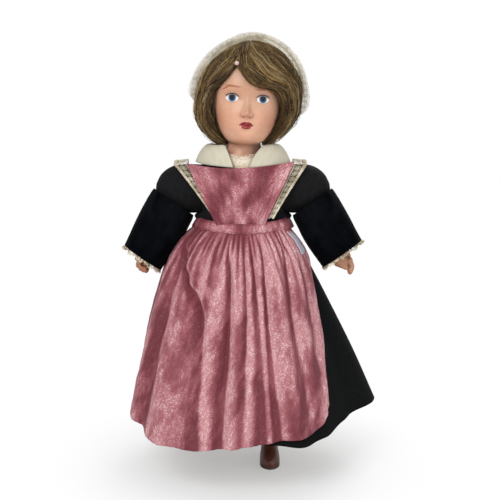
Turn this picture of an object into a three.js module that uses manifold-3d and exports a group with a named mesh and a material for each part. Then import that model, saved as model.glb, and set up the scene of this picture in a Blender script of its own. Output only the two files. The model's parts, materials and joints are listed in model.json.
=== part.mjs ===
// A strung composition doll in a regional costume.
// Millimetres, +Z up. The doll faces -Y and its left hand is on the +X side.
import * as THREE from "three";
import { mergeVertices } from "three/addons/utils/BufferGeometryUtils.js";
import Module from "manifold-3d";

const wasm = await Module();
wasm.setup();
const degree = Math.PI / 180;
const mix = THREE.MathUtils.lerp;

// How the doll stands: the pivots of its joints and how its limbs lie.
const hipHeight = 150;
const hipSpread = 21.5;
const torsoRise = 72; // from the hip pivots up to the shoulder pivots
const shoulderHeight = hipHeight + torsoRise;
const shoulderSpread = 42;
const neckRise = 25; // from the shoulder pivots up to the head's pivot
const neckHeight = shoulderHeight + neckRise;
const headRoll = 3.5 * degree;
const headYaw = 3 * degree;
const armSwing = 8 * degree;
const armSplay = 35 * degree;

// Clearances and walls shared by many pieces.
const seat = 0.3; // between two pieces that touch
const cutOverrun = 40; // how far a cutting shape runs past what it cuts
const shellWall = 4; // composition shell
const cloth = 1.2; // plain cloth
const velvet = 1.6; // pile cloth
const lace = 0.8;

// Composition parts.
const torso = { belowHip: 6, belowNeck: 1, halfWidth: 34, halfDepth: 25 };
const torsoBottom = hipHeight - torso.belowHip;
const torsoTop = neckHeight - torso.belowNeck;
const neckBall = 14.5;
const shoulderBall = 12.5;
const hipBall = 14;
const head = { height: 84, halfWidth: 30, halfDepth: 33.5, crownRadius: 17, crownDepth: 8 };
const crownHeight = head.height - head.crownDepth;
const face = { nose: 4.2, noseHeight: 34.5, eyeHeight: 45, eyeSpread: 12, socket: 1.7, lips: 1.1 };
const arm = { upper: 8.5, elbow: 7.5, wrist: 5, palm: 6.4, finger: 1.9, length: 78 };
const leg = { thigh: 12.2, knee: 9.4, calf: 10, ankle: 6.6 };
const foot = { length: 46, toeReach: 30, halfWidth: 8, height: 17, soleHeight: 2.6, upper: 1 };

// Stringing: cords, hooks, pins and washers.
const cord = { radius: 1.5, bead: 3.4 };
const wire = 1.1;
const hook = { eye: 3.4, button: 4.4, buttonHeight: 1.6 };
const neckPlug = { radius: 7.4, height: 5, bore: 2.8, ledge: 4.5 };
const pin = { halfLength: 8.6, slotWidth: 4.4, slotReach: 9.6, slotFloor: 4.6 };
const washer = { radius: 4.2, bore: 2.1, thickness: 1, depth: 5 };

// Hair, cap and pin, about the middle of the hair.
const hair = {
  middleShare: 0.5476, above: 7, below: 2, back: 2, halfWidth: 42, front: 41, rear: 40, hem: 9.5,
};
const hairMiddle = head.height * hair.middleShare;
const hairUp = head.height + hair.above - hairMiddle;
const hairDown = hairMiddle - hair.below;
const wigCap = { gap: 0.5, wall: 0.9, edgeShare: 0.714, tilt: 22 * degree };
const wigGap = 1.8;
const coif = { wall: 0.8, gap: 1.2, flare: 3, tilt: 25 * degree };
const coifEdge = { width: 4, ripple: 0.5, half: 128 * degree };
const hairPin = { pearl: 1.7, shaft: 0.5, length: 3, side: -9.5, riseShare: 0.567, tilt: 20 * degree };

// The waist, below the shoulder pivots, and the garments above it.
const clothPower = 2.6; // how square the bodice and the waist are
const waist = { halfWidth: 32.4, halfDepth: 26.4, drop: 28, dip: 3.5 };
const waistHeight = shoulderHeight - waist.drop;
const bodice = { lowShare: 0.84, belowNeck: 0.6, halfWidth: 35.6, halfDepth: 26.4 };
const bodiceBottom = mix(hipHeight, waistHeight, bodice.lowShare);
const bodiceTop = neckHeight - bodice.belowNeck;
const armhole = { radius: 19.4, inset: 31.6 };
// The collar's inner edge stands above the head's pivot and its outer edge drops below it.
const collar = {
  neck: 17.2, side: 37, front: 23.6, rear: 27, wall: 1,
  rise: 3.2, sideDrop: 3, frontDrop: 6.8, rearDrop: 4.4,
};
const neckLace = { rise: 1.2, drop: 7.8, topWidth: 15, bottomWidth: 10.6, topDepth: 19.8, bottomDepth: 23.6 };
// The bib's top edge hangs below the head's pivot and its lower edge stands above the waist.
const bib = { drop: 9.6, cornerDrop: 5.4, aboveWaist: 4.4, halfTop: 40.5, halfBottom: 19.5, drift: -2 };
const bibCorner = neckHeight - bib.cornerDrop;
const bibBottom = waistHeight + bib.aboveWaist;
const band = { topWidth: 8.5, bottomWidth: 3.2, past: 115 * degree };
const chest = { depth: 28.4, width: 40, curve: 0.21 };

// Garments, from the waist down.
const waistband = { height: 6.4, lift: 0.4, half: 98 * degree };
const hem = { front: 42, rear: 50 };
const apron = { left: -96 * degree, right: 42 * degree, corner: 13, clear: 0.6 };
const petticoat = { topShare: 0.83, hem: 66, halfWaist: 31.2, halfHem: 69, wall: 0.8 };
const petticoatTop = mix(hipHeight, waistHeight, petticoat.topShare);
const tie = { width: 7, wall: 0.9, bow: 21, tail: 46, knot: 4.6 };
const ribbon = { width: 5, length: 20, angle: 66 * degree };

// Sleeves, from each shoulder pivot outward along the arm.
const sleeve = {
  hood: 27, seamOut: 12, seamDown: 11, cuffOut: 37, cuffDown: 54,
  halfWidth: 20.5, halfDepth: 21.5, cuffHalfWidth: 17.6, cuffHalfDepth: 20.5,
};
const cuff = { length: 8, ripple: 0.7, waves: 10 };

// How finely the round pieces are divided.
const bodySides = 20;
const limbSides = 10;
const tubeSides = 8;
const fingerSides = 5;
const crownSides = 12;
const headSides = 22;
const faceCrowding = 0.42; // how far the head's columns crowd towards the face

// The share of each body row's height, half width and half depth, and where the waist comes.
const waistShare = 0.49;
const torsoShares = [
  [0, 0.15, 0.48], [0.03, 0.65, 0.76], [0.09, 0.9, 0.95], [0.2, 0.99, 1], [0.33, 0.9, 0.94],
  [0.46, 0.84, 0.9], [0.66, 0.96, 0.97], [0.83, 1, 0.89], [0.92, 0.88, 0.76], [0.96, 0.66, 0.66],
  [1, 0.515, 0.64],
];
const torsoRoomShares = [
  [0.07, 0.7, 0.7], [0.2, 0.95, 0.95], [0.46, 0.8, 0.86], [0.72, 0.93, 0.9], [0.9, 0.7, 0.6],
];
const bodiceShares = [
  [0, 0.86, 0.92], [0.26, 0.925, 0.98], [0.52, 1, 1], [0.74, 1, 0.91], [0.88, 0.965, 0.8],
  [0.95, 0.74, 0.725], [1, 0.537, 0.695],
];
// Head rows: height in front, height behind, half width, front depth, rear depth, as shares.
const headShares = [
  [0.115, 0.165, 0.44, 0.405, 0.405], [0.132, 0.225, 0.5, 0.66, 0.56], [0.158, 0.275, 0.57, 0.87, 0.7],
  [0.225, 0.31, 0.7, 0.95, 0.79], [0.3, 0.35, 0.79, 0.985, 0.86], [0.36, 0.4, 0.85, 0.99, 0.92],
  [0.41, 0.44, 0.895, 1, 0.97], [0.47, 0.49, 0.93, 0.985, 1], [0.54, 0.54, 0.96, 0.97, 1.02],
  [0.66, 0.66, 0.98, 0.985, 1.025], [0.78, 0.78, 0.94, 0.91, 0.98], [0.88, 0.88, 0.78, 0.74, 0.83],
  [0.955, 0.955, 0.49, 0.47, 0.54], [0.995, 0.995, 0.15, 0.16, 0.2],
];
// How far the hem reaches in each direction: degrees from the front towards +X, share of the reach.
const hemReach = 100;
const hemShares = [
  [-180, 0.88], [-135, 0.9], [-105, 0.88], [-90, 0.875], [-60, 1.0], [-42, 0.985], [-20, 0.94], [0, 0.91],
  [28, 0.985], [60, 0.89], [90, 1.07], [108, 0.98], [140, 0.91], [180, 0.88],
];
// Hem heights: degrees, share of the skirt's hem behind or of the apron's hem in front.
const skirtHemShares = [
  [-180, 1], [-90, 1], [-30, 0.96], [0, 0.92], [28, 0.8], [60, 0.91], [90, 1.01], [180, 1],
];
const apronHemShares = [
  [-100, 1.19], [-60, 1.12], [-37, 0.952], [-14, 0.943], [8, 1.05], [32, 1.14], [44, 1.24],
];
// Main folds: degrees, depth at the hem, half width in degrees.
const foldDepth = 5;
const foldShares = [
  [-78, 0.5, 9], [-54, 0.8, 9], [-30, 0.7, 9], [-12, 1, 9], [6, 0.35, 7], [18, 0.95, 9], [36, 0.6, 9],
  [72, 0.7, 12], [102, 0.7, 12], [132, 0.8, 12], [156, 0.7, 12], [-180, 0.8, 12], [-150, 0.7, 12],
  [-120, 0.8, 12],
];

const point = (x, y, z) => new THREE.Vector3(x, y, z);
const range = (count) => [...Array(count).keys()];
const ease = (share) => THREE.MathUtils.smoothstep(share, 0, 1);

// A value from rows of [place, value, ...], rounded between the rows.
function follow(rows, place, column = 1) {
  const last = rows.length - 2;
  const next = rows.findIndex((row) => row[0] > place);
  const i = THREE.MathUtils.clamp(next < 0 ? last : next - 1, 0, last);
  const slope = (k) => {
    const before = rows[Math.max(k - 1, 0)];
    const after = rows[Math.min(k + 1, rows.length - 1)];
    return (after[column] - before[column]) / (after[0] - before[0]);
  };
  const span = rows[i + 1][0] - rows[i][0];
  const t = THREE.MathUtils.clamp((place - rows[i][0]) / span, 0, 1);
  const rise = rows[i + 1][column] - rows[i][column];
  const start = slope(i) * span;
  const end = slope(i + 1) * span;
  return rows[i][column] + t * (start + t * (3 * rise - 2 * start - end + t * (start + end - 2 * rise)));
}

// One closed skin from points and triangles, turned so that its faces point out.
function skin(points, faces) {
  const volume = faces.reduce((sum, [a, b, c]) => sum + points[a].dot(points[b].clone().cross(points[c])), 0);
  const turned = volume < 0 ? faces.map(([a, b, c]) => [a, c, b]) : faces;
  const geometry = new THREE.BufferGeometry().setFromPoints(points);
  geometry.setIndex(turned.flat());
  geometry.computeVertexNormals();
  return geometry;
}

// A wall between two faces, each given as rows of points. A wrapped wall closes round on itself.
function wall(outer, inner, wrapped = false) {
  const rows = outer.length;
  const columns = outer[0].length;
  const spans = wrapped ? columns : columns - 1;
  const at = (side, row, column) => (side * rows + row) * columns + (column % columns);
  const faces = [];
  const quad = (a, b, c, d) => faces.push([a, b, c], [a, c, d]);
  for (const row of range(rows - 1)) {
    for (const column of range(spans)) {
      quad(at(0, row, column), at(0, row, column + 1), at(0, row + 1, column + 1), at(0, row + 1, column));
      quad(at(1, row, column), at(1, row + 1, column), at(1, row + 1, column + 1), at(1, row, column + 1));
    }
  }
  for (const column of range(spans)) {
    quad(at(0, 0, column), at(1, 0, column), at(1, 0, column + 1), at(0, 0, column + 1));
    const next = column + 1;
    quad(at(0, rows - 1, column), at(0, rows - 1, next), at(1, rows - 1, next), at(1, rows - 1, column));
  }
  for (const row of range(wrapped ? 0 : rows - 1)) {
    quad(at(0, row, 0), at(0, row + 1, 0), at(1, row + 1, 0), at(1, row, 0));
    quad(at(0, row, spans), at(1, row, spans), at(1, row + 1, spans), at(0, row + 1, spans));
  }
  return skin([...outer.flat(), ...inner.flat()], faces);
}

// A solid that runs through rings of points, its two ends closed.
function loft(rings) {
  const count = rings[0].length;
  const middle = (ring) => ring.reduce((sum, p) => sum.add(p), point(0, 0, 0)).divideScalar(ring.length);
  const points = [...rings.flat(), middle(rings[0]), middle(rings.at(-1))];
  const start = points.length - 2;
  const end = points.length - 1;
  const at = (row, column) => row * count + (column % count);
  const faces = [];
  for (const row of range(rings.length - 1)) {
    for (const column of range(count)) {
      faces.push([at(row, column), at(row, column + 1), at(row + 1, column + 1)]);
      faces.push([at(row, column), at(row + 1, column + 1), at(row + 1, column)]);
    }
  }
  for (const column of range(count)) {
    faces.push([start, at(0, column + 1), at(0, column)]);
    faces.push([end, at(rings.length - 1, column), at(rings.length - 1, column + 1)]);
  }
  return skin(points, faces);
}

// Rings round a path: each stop gives its middle, its half width, its half depth and its lean.
function limb(stops, sides = limbSides) {
  return loft(stops.map(({ x = 0, y = 0, z, wide, deep = wide, lean = 0 }) =>
    range(sides).map((k) => {
      const angle = (2 * Math.PI * k) / sides;
      const out = wide * Math.cos(angle);
      return point(x + out * Math.cos(lean), y + deep * Math.sin(angle), z + out * Math.sin(lean));
    })));
}

// A point on a rounded rectangle about the vertical axis, from the front (-Y) towards +X.
function oval(angle, halfWidth, front, rear = front, power = 2.3) {
  const across = Math.sin(angle);
  const along = -Math.cos(angle);
  const halfDepth = along < 0 ? front : rear;
  const fill = Math.abs(across / halfWidth) ** power + Math.abs(along / halfDepth) ** power;
  const reach = fill ** (-1 / power);
  return [reach * across, reach * along];
}

const solidOf = (geometry) => {
  const bare = geometry.clone();
  bare.deleteAttribute("normal");
  bare.deleteAttribute("uv");
  const merged = mergeVertices(bare);
  const triVerts = new Uint32Array(merged.index.array);
  const vertProperties = merged.attributes.position.array;
  return new wasm.Manifold(new wasm.Mesh({ numProp: 3, vertProperties, triVerts }));
};

const geometryOf = (solid) => {
  const mesh = solid.getMesh();
  const geometry = new THREE.BufferGeometry();
  geometry.setAttribute("position", new THREE.BufferAttribute(mesh.vertProperties, 3));
  geometry.setIndex(new THREE.BufferAttribute(mesh.triVerts, 1));
  geometry.computeVertexNormals();
  return geometry;
};

const cut = (base, ...tools) =>
  geometryOf(tools.reduce((solid, tool) => solid.subtract(solidOf(tool)), solidOf(base)));
const join = (base, ...more) =>
  geometryOf(more.reduce((solid, piece) => solid.add(solidOf(piece)), solidOf(base)));

const ball = (radius, x, y, z, sides = 14) =>
  new THREE.SphereGeometry(radius, sides, sides / 2).rotateX(Math.PI / 2).translate(x, y, z);
const rod = (radius, length, x, y, z, sides = tubeSides) =>
  new THREE.CylinderGeometry(radius, radius, length, sides).rotateX(Math.PI / 2).translate(x, y, z);
const crossRod = (radius, length, x, y, z, sides = tubeSides) =>
  new THREE.CylinderGeometry(radius, radius, length, sides).rotateZ(Math.PI / 2).translate(x, y, z);
const block = (from, to) =>
  new THREE.BoxGeometry(to.x - from.x, to.y - from.y, to.z - from.z)
    .translate((from.x + to.x) / 2, (from.y + to.y) / 2, (from.z + to.z) / 2);

// A cord or wire along a path.
function tube(path, radius, steps, closed = false) {
  const section = new THREE.Shape();
  range(tubeSides).forEach((k) => {
    const angle = (2 * Math.PI * k) / tubeSides;
    const place = [radius * Math.cos(angle), radius * Math.sin(angle)];
    if (k) section.lineTo(...place);
    else section.moveTo(...place);
  });
  const extrudePath = new THREE.CatmullRomCurve3(path, closed);
  return new THREE.ExtrudeGeometry(section, { steps, bevelEnabled: false, extrudePath });
}

const finish = (color, roughness, metalness = 0) =>
  new THREE.MeshStandardMaterial({ color, roughness, metalness });
const skinPaint = finish(0xd7a58c, 0.35);
const composition = finish(0xc9a98c, 0.8);
const mohair = finish(0x55412a, 0.7);
const tulle = finish(0xd9d2bd, 0.9);
const creamLace = finish(0xcdc3aa, 0.85);
const linen = finish(0xd7d4be, 0.9);
const blackCloth = finish(0x1e1e1c, 0.9);
const blackVelvet = finish(0x08080c, 0.95);
const pinkVelvet = finish(0xa55564, 0.8);
const shoeLeather = finish(0x4b2319, 0.3);
const soleLeather = finish(0x6b4a32, 0.7);
const steel = finish(0x9a9a9a, 0.35, 1);
const elastic = finish(0x2b2a28, 0.8);
const wood = finish(0xb08a5a, 0.7);
const pearl = finish(0xe8e4da, 0.2);
const palePink = finish(0xb4b4be, 0.6);

function piece(name, geometry, material) {
  const mesh = new THREE.Mesh(geometry, material);
  mesh.name = name;
  return mesh;
}

// The torso: two half shells with cups for the neck, the shoulders and the hips.
function torsoHeight(share) {
  if (share < waistShare) return mix(torsoBottom, waistHeight, share / waistShare);
  return mix(waistHeight, torsoTop, (share - waistShare) / (1 - waistShare));
}

const torsoRings = () => torsoShares.map(([rise, wide, deep]) => range(bodySides).map((k) => {
  const [x, y] = oval((2 * Math.PI * k) / bodySides, torso.halfWidth * wide, torso.halfDepth * deep);
  return point(x, y, torsoHeight(rise));
}));

function torsoShell() {
  // A faceted ball whose flats stay a seat clear of the true radius.
  const around = (radius, x, y, z, sides = 14) =>
    ball((radius + seat) / Math.cos(Math.PI / sides) ** 2, x, y, z, sides);
  const cups = (extra, sides) => [
    around(neckBall + extra, 0, 0, neckHeight, sides),
    ...[-1, 1].map((side) => around(shoulderBall + extra, side * shoulderSpread, 0, shoulderHeight, sides)),
    ...[-1, 1].map((side) => around(hipBall + extra, side * hipSpread, 0, hipHeight, sides)),
  ];
  const rooms = torsoRoomShares.map(([share, wide, deep]) => ({
    z: torsoHeight(share),
    wide: torso.halfWidth * wide - shellWall,
    deep: torso.halfDepth * deep - shellWall,
  }));
  const hollow = cut(limb(rooms), ...cups(shellWall * 0.85, 8));
  const slots = [-1, 1].map((side) => block(
    point(side * hipSpread - pin.slotWidth, -pin.slotReach, hipHeight),
    point(side * hipSpread + pin.slotWidth, pin.slotReach, hipHeight + hipBall + shellWall * 2),
  ));
  const bores = [
    rod(hook.eye + wire * 2, shellWall * 4, 0, 0, neckHeight - neckBall),
    crossRod(cord.radius * 3, 2 * shoulderSpread, 0, 0, shoulderHeight),
  ];
  return cut(loft(torsoRings()), hollow, ...cups(0), ...slots, ...bores);
}

function torsoHalves() {
  const shell = torsoShell();
  const reach = torso.halfWidth + cutOverrun;
  const far = point(reach, reach, torsoTop + cutOverrun);
  const near = point(-reach, -seat / 2, torsoBottom - cutOverrun);
  const front = cut(shell, block(near, far));
  const behind = point(-reach, -reach, torsoBottom - cutOverrun);
  const back = cut(shell, block(behind, point(reach, seat / 2, torsoTop + cutOverrun)));
  return [piece("torso_front", front, composition), piece("torso_back", back, composition)];
}

// The stringing. The arm elastic bows behind the neck hook; the body elastic runs from hip to hip over it.
const knotDepth = washer.depth - washer.thickness - seat - cord.bead; // inward from the shoulder pivot
const knotPlace = shoulderSpread - knotDepth;
const hookEye = neckHeight - neckBall - shellWall - hook.eye - wire * 2;

function armElastic() {
  const bow = hook.eye + wire * 2 + cord.radius * 2 + seat * 2;
  const inner = shoulderSpread - shoulderBall - seat;
  const stops = [[-knotPlace, 0], [-inner, 0], [-inner / 2, bow * 0.8], [0, bow * 1.05]];
  const mirrored = stops.slice(0, -1).toReversed().map(([x, y]) => [-x, y]);
  const path = [...stops, ...mirrored].map(([x, y]) => point(x, y, shoulderHeight));
  const knots = [-1, 1].map((side) => ball(cord.bead, side * knotPlace, 0, shoulderHeight, 8));
  return piece("arm_elastic", join(tube(path, cord.radius, 12), ...knots), elastic);
}

function bodyElastic() {
  const top = hookEye - hook.eye + wire + cord.radius * 1.9;
  const half = mix(hipHeight, top, 0.5);
  const shoulder = top - cord.radius;
  const stops = [[-1, hipHeight], [-1, hipHeight + hipBall], [-0.62, half], [-0.16, shoulder], [0, top]];
  const mirrored = stops.slice(0, -1).toReversed().map(([out, z]) => [-out, z]);
  const path = [...stops, ...mirrored].map(([out, z]) => point(hipSpread * out, 0, z));
  const beads = [-1, 1].map((side) => ball(cord.bead, side * hipSpread, 0, hipHeight, 8));
  const string = join(tube(path, cord.radius, 16), ...beads);
  const bores = [-1, 1].map((side) => crossRod(wire + seat, cord.bead * 4, side * hipSpread, 0, hipHeight));
  return piece("body_elastic", cut(string, ...bores), elastic);
}

// The neck hook hangs by its button from the plug in the neck; its eye holds the body elastic.
const plugFloor = neckHeight - neckBall + neckPlug.ledge + seat;

function neckHook() {
  const buttonPlace = plugFloor + neckPlug.height + seat;
  const stemBottom = hookEye + hook.eye;
  const stem = rod(wire * 0.98, buttonPlace - stemBottom + wire, 0, 0, (buttonPlace + stemBottom) / 2);
  const button = rod(hook.button, hook.buttonHeight, 0, 0, buttonPlace + hook.buttonHeight / 2, 12);
  const eye = new THREE.TorusGeometry(hook.eye, wire, 6, 12).rotateY(Math.PI / 2).translate(0, 0, hookEye);
  return piece("neck_hook", join(eye, stem, button), steel);
}

// Bodice of plain cloth over the torso, with an armhole about each shoulder axis.
function bodiceRings(inset) {
  return bodiceShares.map(([rise, wide, deep]) =>
    range(bodySides + 4).map((k) => {
      const angle = (2 * Math.PI * k) / (bodySides + 4);
      const halfDepth = bodice.halfDepth * deep - inset;
      const [x, y] = oval(angle, bodice.halfWidth * wide - inset, halfDepth, halfDepth, clothPower);
      return point(x, y, mix(bodiceBottom, bodiceTop, rise));
    }));
}

function makeBodice() {
  const holes = [-1, 1].map((side) => {
    const middle = side * (armhole.inset - seat * 2 + cutOverrun / 2);
    return crossRod(armhole.radius + seat, cutOverrun, middle, 0, shoulderHeight, 20);
  });
  const shell = wall(bodiceRings(0), bodiceRings(cloth), true);
  return piece("bodice", cut(shell, ...holes), blackCloth);
}

// How far in front of the middle plane the cloth over the chest lies.
function chestDepth(x, z) {
  const rise = (z - bodiceBottom) / (bodiceTop - bodiceBottom);
  const fall = follow(bodiceShares, THREE.MathUtils.clamp(rise, 0, 1), 2);
  return chest.depth * fall * (1 - chest.curve * Math.abs(x / chest.width) ** 2.5);
}

// A sheet that hangs on the chest: its face is given by a point for each share across and up.
function sheet(columns, rows, thickness, at) {
  const back = point(0, thickness, 0);
  const face = range(rows + 1).map((r) => range(columns + 1).map((c) => at(c / columns, r / rows)));
  return wall(face, face.map((row) => row.map((p) => p.clone().add(back))));
}

// The bib's side edge at a height, and the height of its top edge across it.
const bibEdge = (z) => mix(bib.halfBottom, bib.halfTop, (z - bibBottom) / (bibCorner - bibBottom));
const bibTop = (across) => neckHeight - mix(bib.drop, bib.cornerDrop, Math.abs(2 * across - 1) ** 2.2);

function makeBib() {
  const clear = velvet + seat;
  const geometry = sheet(12, 5, velvet, (across, up) => {
    const z = mix(bibBottom, bibTop(across), up);
    const x = bibEdge(z) * (2 * across - 1) + bib.drift;
    return point(x, -chestDepth(x, z) - clear, z);
  });
  return piece("apron_bib", geometry, pinkVelvet);
}

// A lace band runs up beside the bib and over the shoulder, a little proud of the sleeve there.
function laceBand(name, side) {
  const frontShare = 0.7;
  const rows = 9;
  const clear = seat * 2;
  const edgeAt = (share, across, proud) => {
    const up = Math.min(share / frontShare, 1);
    const z = mix(bibBottom + waistband.height, bibCorner, up);
    const width = mix(band.bottomWidth, band.topWidth, up ** 1.5);
    const x = side * bib.drift + bibEdge(z) + seat * 3 + width * across;
    const y = -chestDepth(x, z) - clear - proud;
    if (share <= frontShare) return point(side * x, y, z);
    const over = (share - frontShare) / (1 - frontShare);
    const rise = z - shoulderHeight;
    const turn = mix(Math.atan2(rise, -y), band.past, over);
    const reach = mix(Math.hypot(y, rise), armhole.radius + clear * 2 + proud, over);
    return point(side * x, -reach * Math.cos(turn), shoulderHeight + reach * Math.sin(turn));
  };
  const face = (proud) => range(rows + 1).map((r) => range(3).map((c) => edgeAt(r / rows, c / 2, proud)));
  return piece(name, wall(face(lace), face(0)), creamLace);
}

// One flap of the collar, from its open front edge round to the back.
function collarFlap(name, side) {
  const columns = 12;
  const rows = 2;
  const at = (across, out, drop) => {
    const opening = mix(58 * degree, 15 * degree, out);
    const angle = mix(opening, 178 * degree, across);
    const front = mix(collar.neck, collar.front, out);
    const rear = mix(collar.neck, collar.rear, out);
    const [x, y] = oval(angle, mix(collar.neck, collar.side, out), front, rear, 2.2);
    const turn = Math.cos(angle);
    const end = turn > 0 ? collar.frontDrop : collar.rearDrop;
    const low = mix(collar.sideDrop, end, Math.abs(turn));
    const rise = mix(collar.rise, -low, out ** 1.15) - drop;
    return point(side * x, y, neckHeight + rise);
  };
  const row = (r, drop) => range(columns + 1).map((c) => at(c / columns, r / rows, drop));
  const face = (drop) => range(rows + 1).map((r) => row(r, drop));
  return piece(name, wall(face(0), face(collar.wall)), linen);
}

function makeNeckLace() {
  const geometry = sheet(4, 3, lace, (across, up) => {
    const half = mix(neckLace.bottomWidth, neckLace.topWidth, up) / 2;
    const x = half * (2 * across - 1);
    const bend = 1 - 0.05 * (x / half) ** 2;
    const depth = mix(neckLace.bottomDepth, neckLace.topDepth, up);
    return point(x, -depth * bend, neckHeight + mix(-neckLace.drop, neckLace.rise, up));
  });
  return piece("neck_lace", geometry, creamLace);
}

// The skirt's surface: how far it stands from the axis in one direction, a share of the way down.
function foldAt(angle, down) {
  const turn = angle / degree;
  const depth = foldShares.reduce((sum, [middle, share, half]) => {
    const away = Math.abs(((turn - middle + 540) % 360) - 180) / half;
    return sum + (away < 1 ? share * (0.5 + 0.5 * Math.cos(Math.PI * away)) : 0);
  }, 0);
  return foldDepth * depth * Math.min(down * 2.2, 1) * ease(Math.min(down * 3, 1));
}

const turnOf = (angle) => ((angle / degree + 540) % 360) - 180;
const skirtHemAt = (angle) => hem.rear * follow(skirtHemShares, turnOf(angle));

function skirtPoint(angle, down, proud, hemHeight) {
  const [waistX, waistY] = oval(angle, waist.halfWidth, waist.halfDepth, waist.halfDepth, clothPower);
  const reach = hemReach * follow(hemShares, turnOf(angle));
  const front = 0.5 + 0.5 * Math.cos(angle + 30 * degree);
  const swell = down ** mix(0.9, 0.74, front);
  const radius = mix(Math.hypot(waistX, waistY), reach, swell) - foldAt(angle, down) + proud;
  const start = waistHeight - waist.dip * Math.max(Math.cos(angle), 0) ** 2;
  return point(radius * Math.sin(angle), -radius * Math.cos(angle), mix(start, hemHeight, down));
}

function makeSkirt() {
  const columns = 60;
  const rows = 5;
  const face = (proud) => range(rows + 1).map((r) => range(columns).map((c) => {
    const angle = (2 * Math.PI * c) / columns;
    return skirtPoint(angle, r / rows, proud, skirtHemAt(angle));
  }));
  return piece("skirt", wall(face(cloth), face(0), true), blackCloth);
}

// The apron hangs over the front of the skirt, its lower corners rounded.
function apronHemAt(angle) {
  const low = hem.front * follow(apronHemShares, angle / degree);
  const edge = Math.min(angle - apron.left, apron.right - angle) * hemReach;
  const round = Math.max(1 - edge / apron.corner, 0);
  return low + apron.corner * (1 - Math.sqrt(1 - round ** 2));
}

function makeApron() {
  const columns = 23;
  const rows = 9;
  const start = (waistband.height * 0.2) / (waistHeight - hem.front);
  const face = (proud) => range(rows + 1).map((r) => range(columns + 1).map((c) => {
    const angle = mix(apron.left, apron.right, c / columns);
    const low = mix(start, 1, r / rows);
    const hemHeight = apronHemAt(angle);
    const skirtLow = skirtHemAt(angle);
    const top = skirtPoint(angle, start, 0, skirtLow).z;
    const bottomShare = (top - hemHeight) / (top - skirtLow);
    const down = start + (low - start) * bottomShare;
    return skirtPoint(angle, down, proud, skirtLow);
  }));
  const clear = cloth + apron.clear;
  return piece("apron_skirt", wall(face(clear + velvet), face(clear)), pinkVelvet);
}

function makeWaistband() {
  const columns = 26;
  const clear = cloth + seat;
  const face = (proud) => range(3).map((r) => range(columns + 1).map((c) => {
    const angle = mix(-waistband.half, waistband.half, c / columns);
    const foot = skirtPoint(angle, 0, proud, 0);
    return foot.add(point(0, 0, waistband.lift + (waistband.height * r) / 2));
  }));
  return piece("apron_waistband", wall(face(clear + velvet), face(clear)), pinkVelvet);
}

// The tie runs round the back of the waist to a bow.
function makeTie() {
  const columns = 16;
  const clear = cloth + seat;
  const from = waistband.half + (seat * 2) / waist.halfWidth;
  const face = (proud) => range(2).map((r) => range(columns + 1).map((c) => {
    const angle = mix(from, 2 * Math.PI - from, c / columns);
    return skirtPoint(angle, 0, proud, 0).add(point(0, 0, waistband.lift + tie.width * r));
  }));
  return piece("apron_tie", wall(face(clear + tie.wall), face(clear)), palePink);
}

function makeBow() {
  const middle = waistHeight + waistband.lift + tie.width / 2;
  const away = waist.halfDepth + cloth + tie.wall + tie.knot / 2 + seat * 3;
  const knot = limb([-1, -0.5, 0.5, 1].map((share) => ({
    y: away,
    z: middle + (share * tie.width) / 2,
    wide: tie.knot * (1 - 0.35 * share ** 2),
    deep: tie.knot * 0.5,
  })));
  const loops = [-1, 1].map((side) => loft([0.08, 0.3, 0.6, 0.85, 1].map((share) =>
    range(tubeSides).map((k) => {
      const angle = (2 * Math.PI * k) / tubeSides;
      const open = tie.width * (0.35 + 0.5 * Math.sin(Math.PI * share * 0.6));
      const y = away + tie.knot * (0.45 * Math.sin(angle) + 0.22 * share);
      return point(side * tie.bow * share, y, middle + open * Math.cos(angle) - tie.width * 0.4 * share);
    }))));
  const face = (side, proud) => range(6).map((r) => range(3).map((c) =>
    tailPoint(side, r / 5, c / 2, proud, away, middle)));
  const tails = [-1, 1].map((side) => wall(face(side, tie.wall), face(side, 0)));
  return piece("apron_bow", join(knot, ...loops, ...tails), palePink);
}

function tailPoint(side, down, across, proud, away, middle) {
  const drop = tie.tail * down;
  const share = drop / (waistHeight - hem.rear);
  const angle = Math.PI - side * (0.06 + 0.1 * down);
  const outward = skirtPoint(angle, share, cloth + seat + foldDepth * 0.5 + proud, hem.rear);
  const y = Math.max(outward.y, away - tie.knot * 0.2 + proud);
  return point(side * (tie.width * (across + 0.1) + tie.bow * 0.35 * down), y, middle - drop);
}

function ribbonEnd() {
  const start = 0.01;
  const face = (proud) => range(6).map((r) => range(3).map((c) => {
    const down = start + ((ribbon.length * r) / 5) / (waistHeight - hem.front);
    const angle = ribbon.angle + (ribbon.width * (c / 2 - 0.5)) / waist.halfWidth + (0.05 * r) / 5;
    return skirtPoint(angle, down, proud, skirtHemAt(angle));
  }));
  return piece("ribbon_end", wall(face(cloth + seat + tie.wall), face(cloth + seat)), palePink);
}

function makePetticoat() {
  const columns = 22;
  const rows = 4;
  const face = (proud) => range(rows + 1).map((r) => range(columns).map((c) => {
    const down = r / rows;
    const angle = (2 * Math.PI * c) / columns;
    const [x, y] = oval(angle, petticoat.halfWaist, petticoat.halfWaist * 0.8);
    const radius = mix(Math.hypot(x, y), petticoat.halfHem, down ** 0.9) + proud;
    const z = mix(petticoatTop, petticoat.hem, down);
    return point(radius * Math.sin(angle), -radius * Math.cos(angle), z);
  }));
  return piece("petticoat", wall(face(0), face(-petticoat.wall), true), linen);
}

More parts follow.
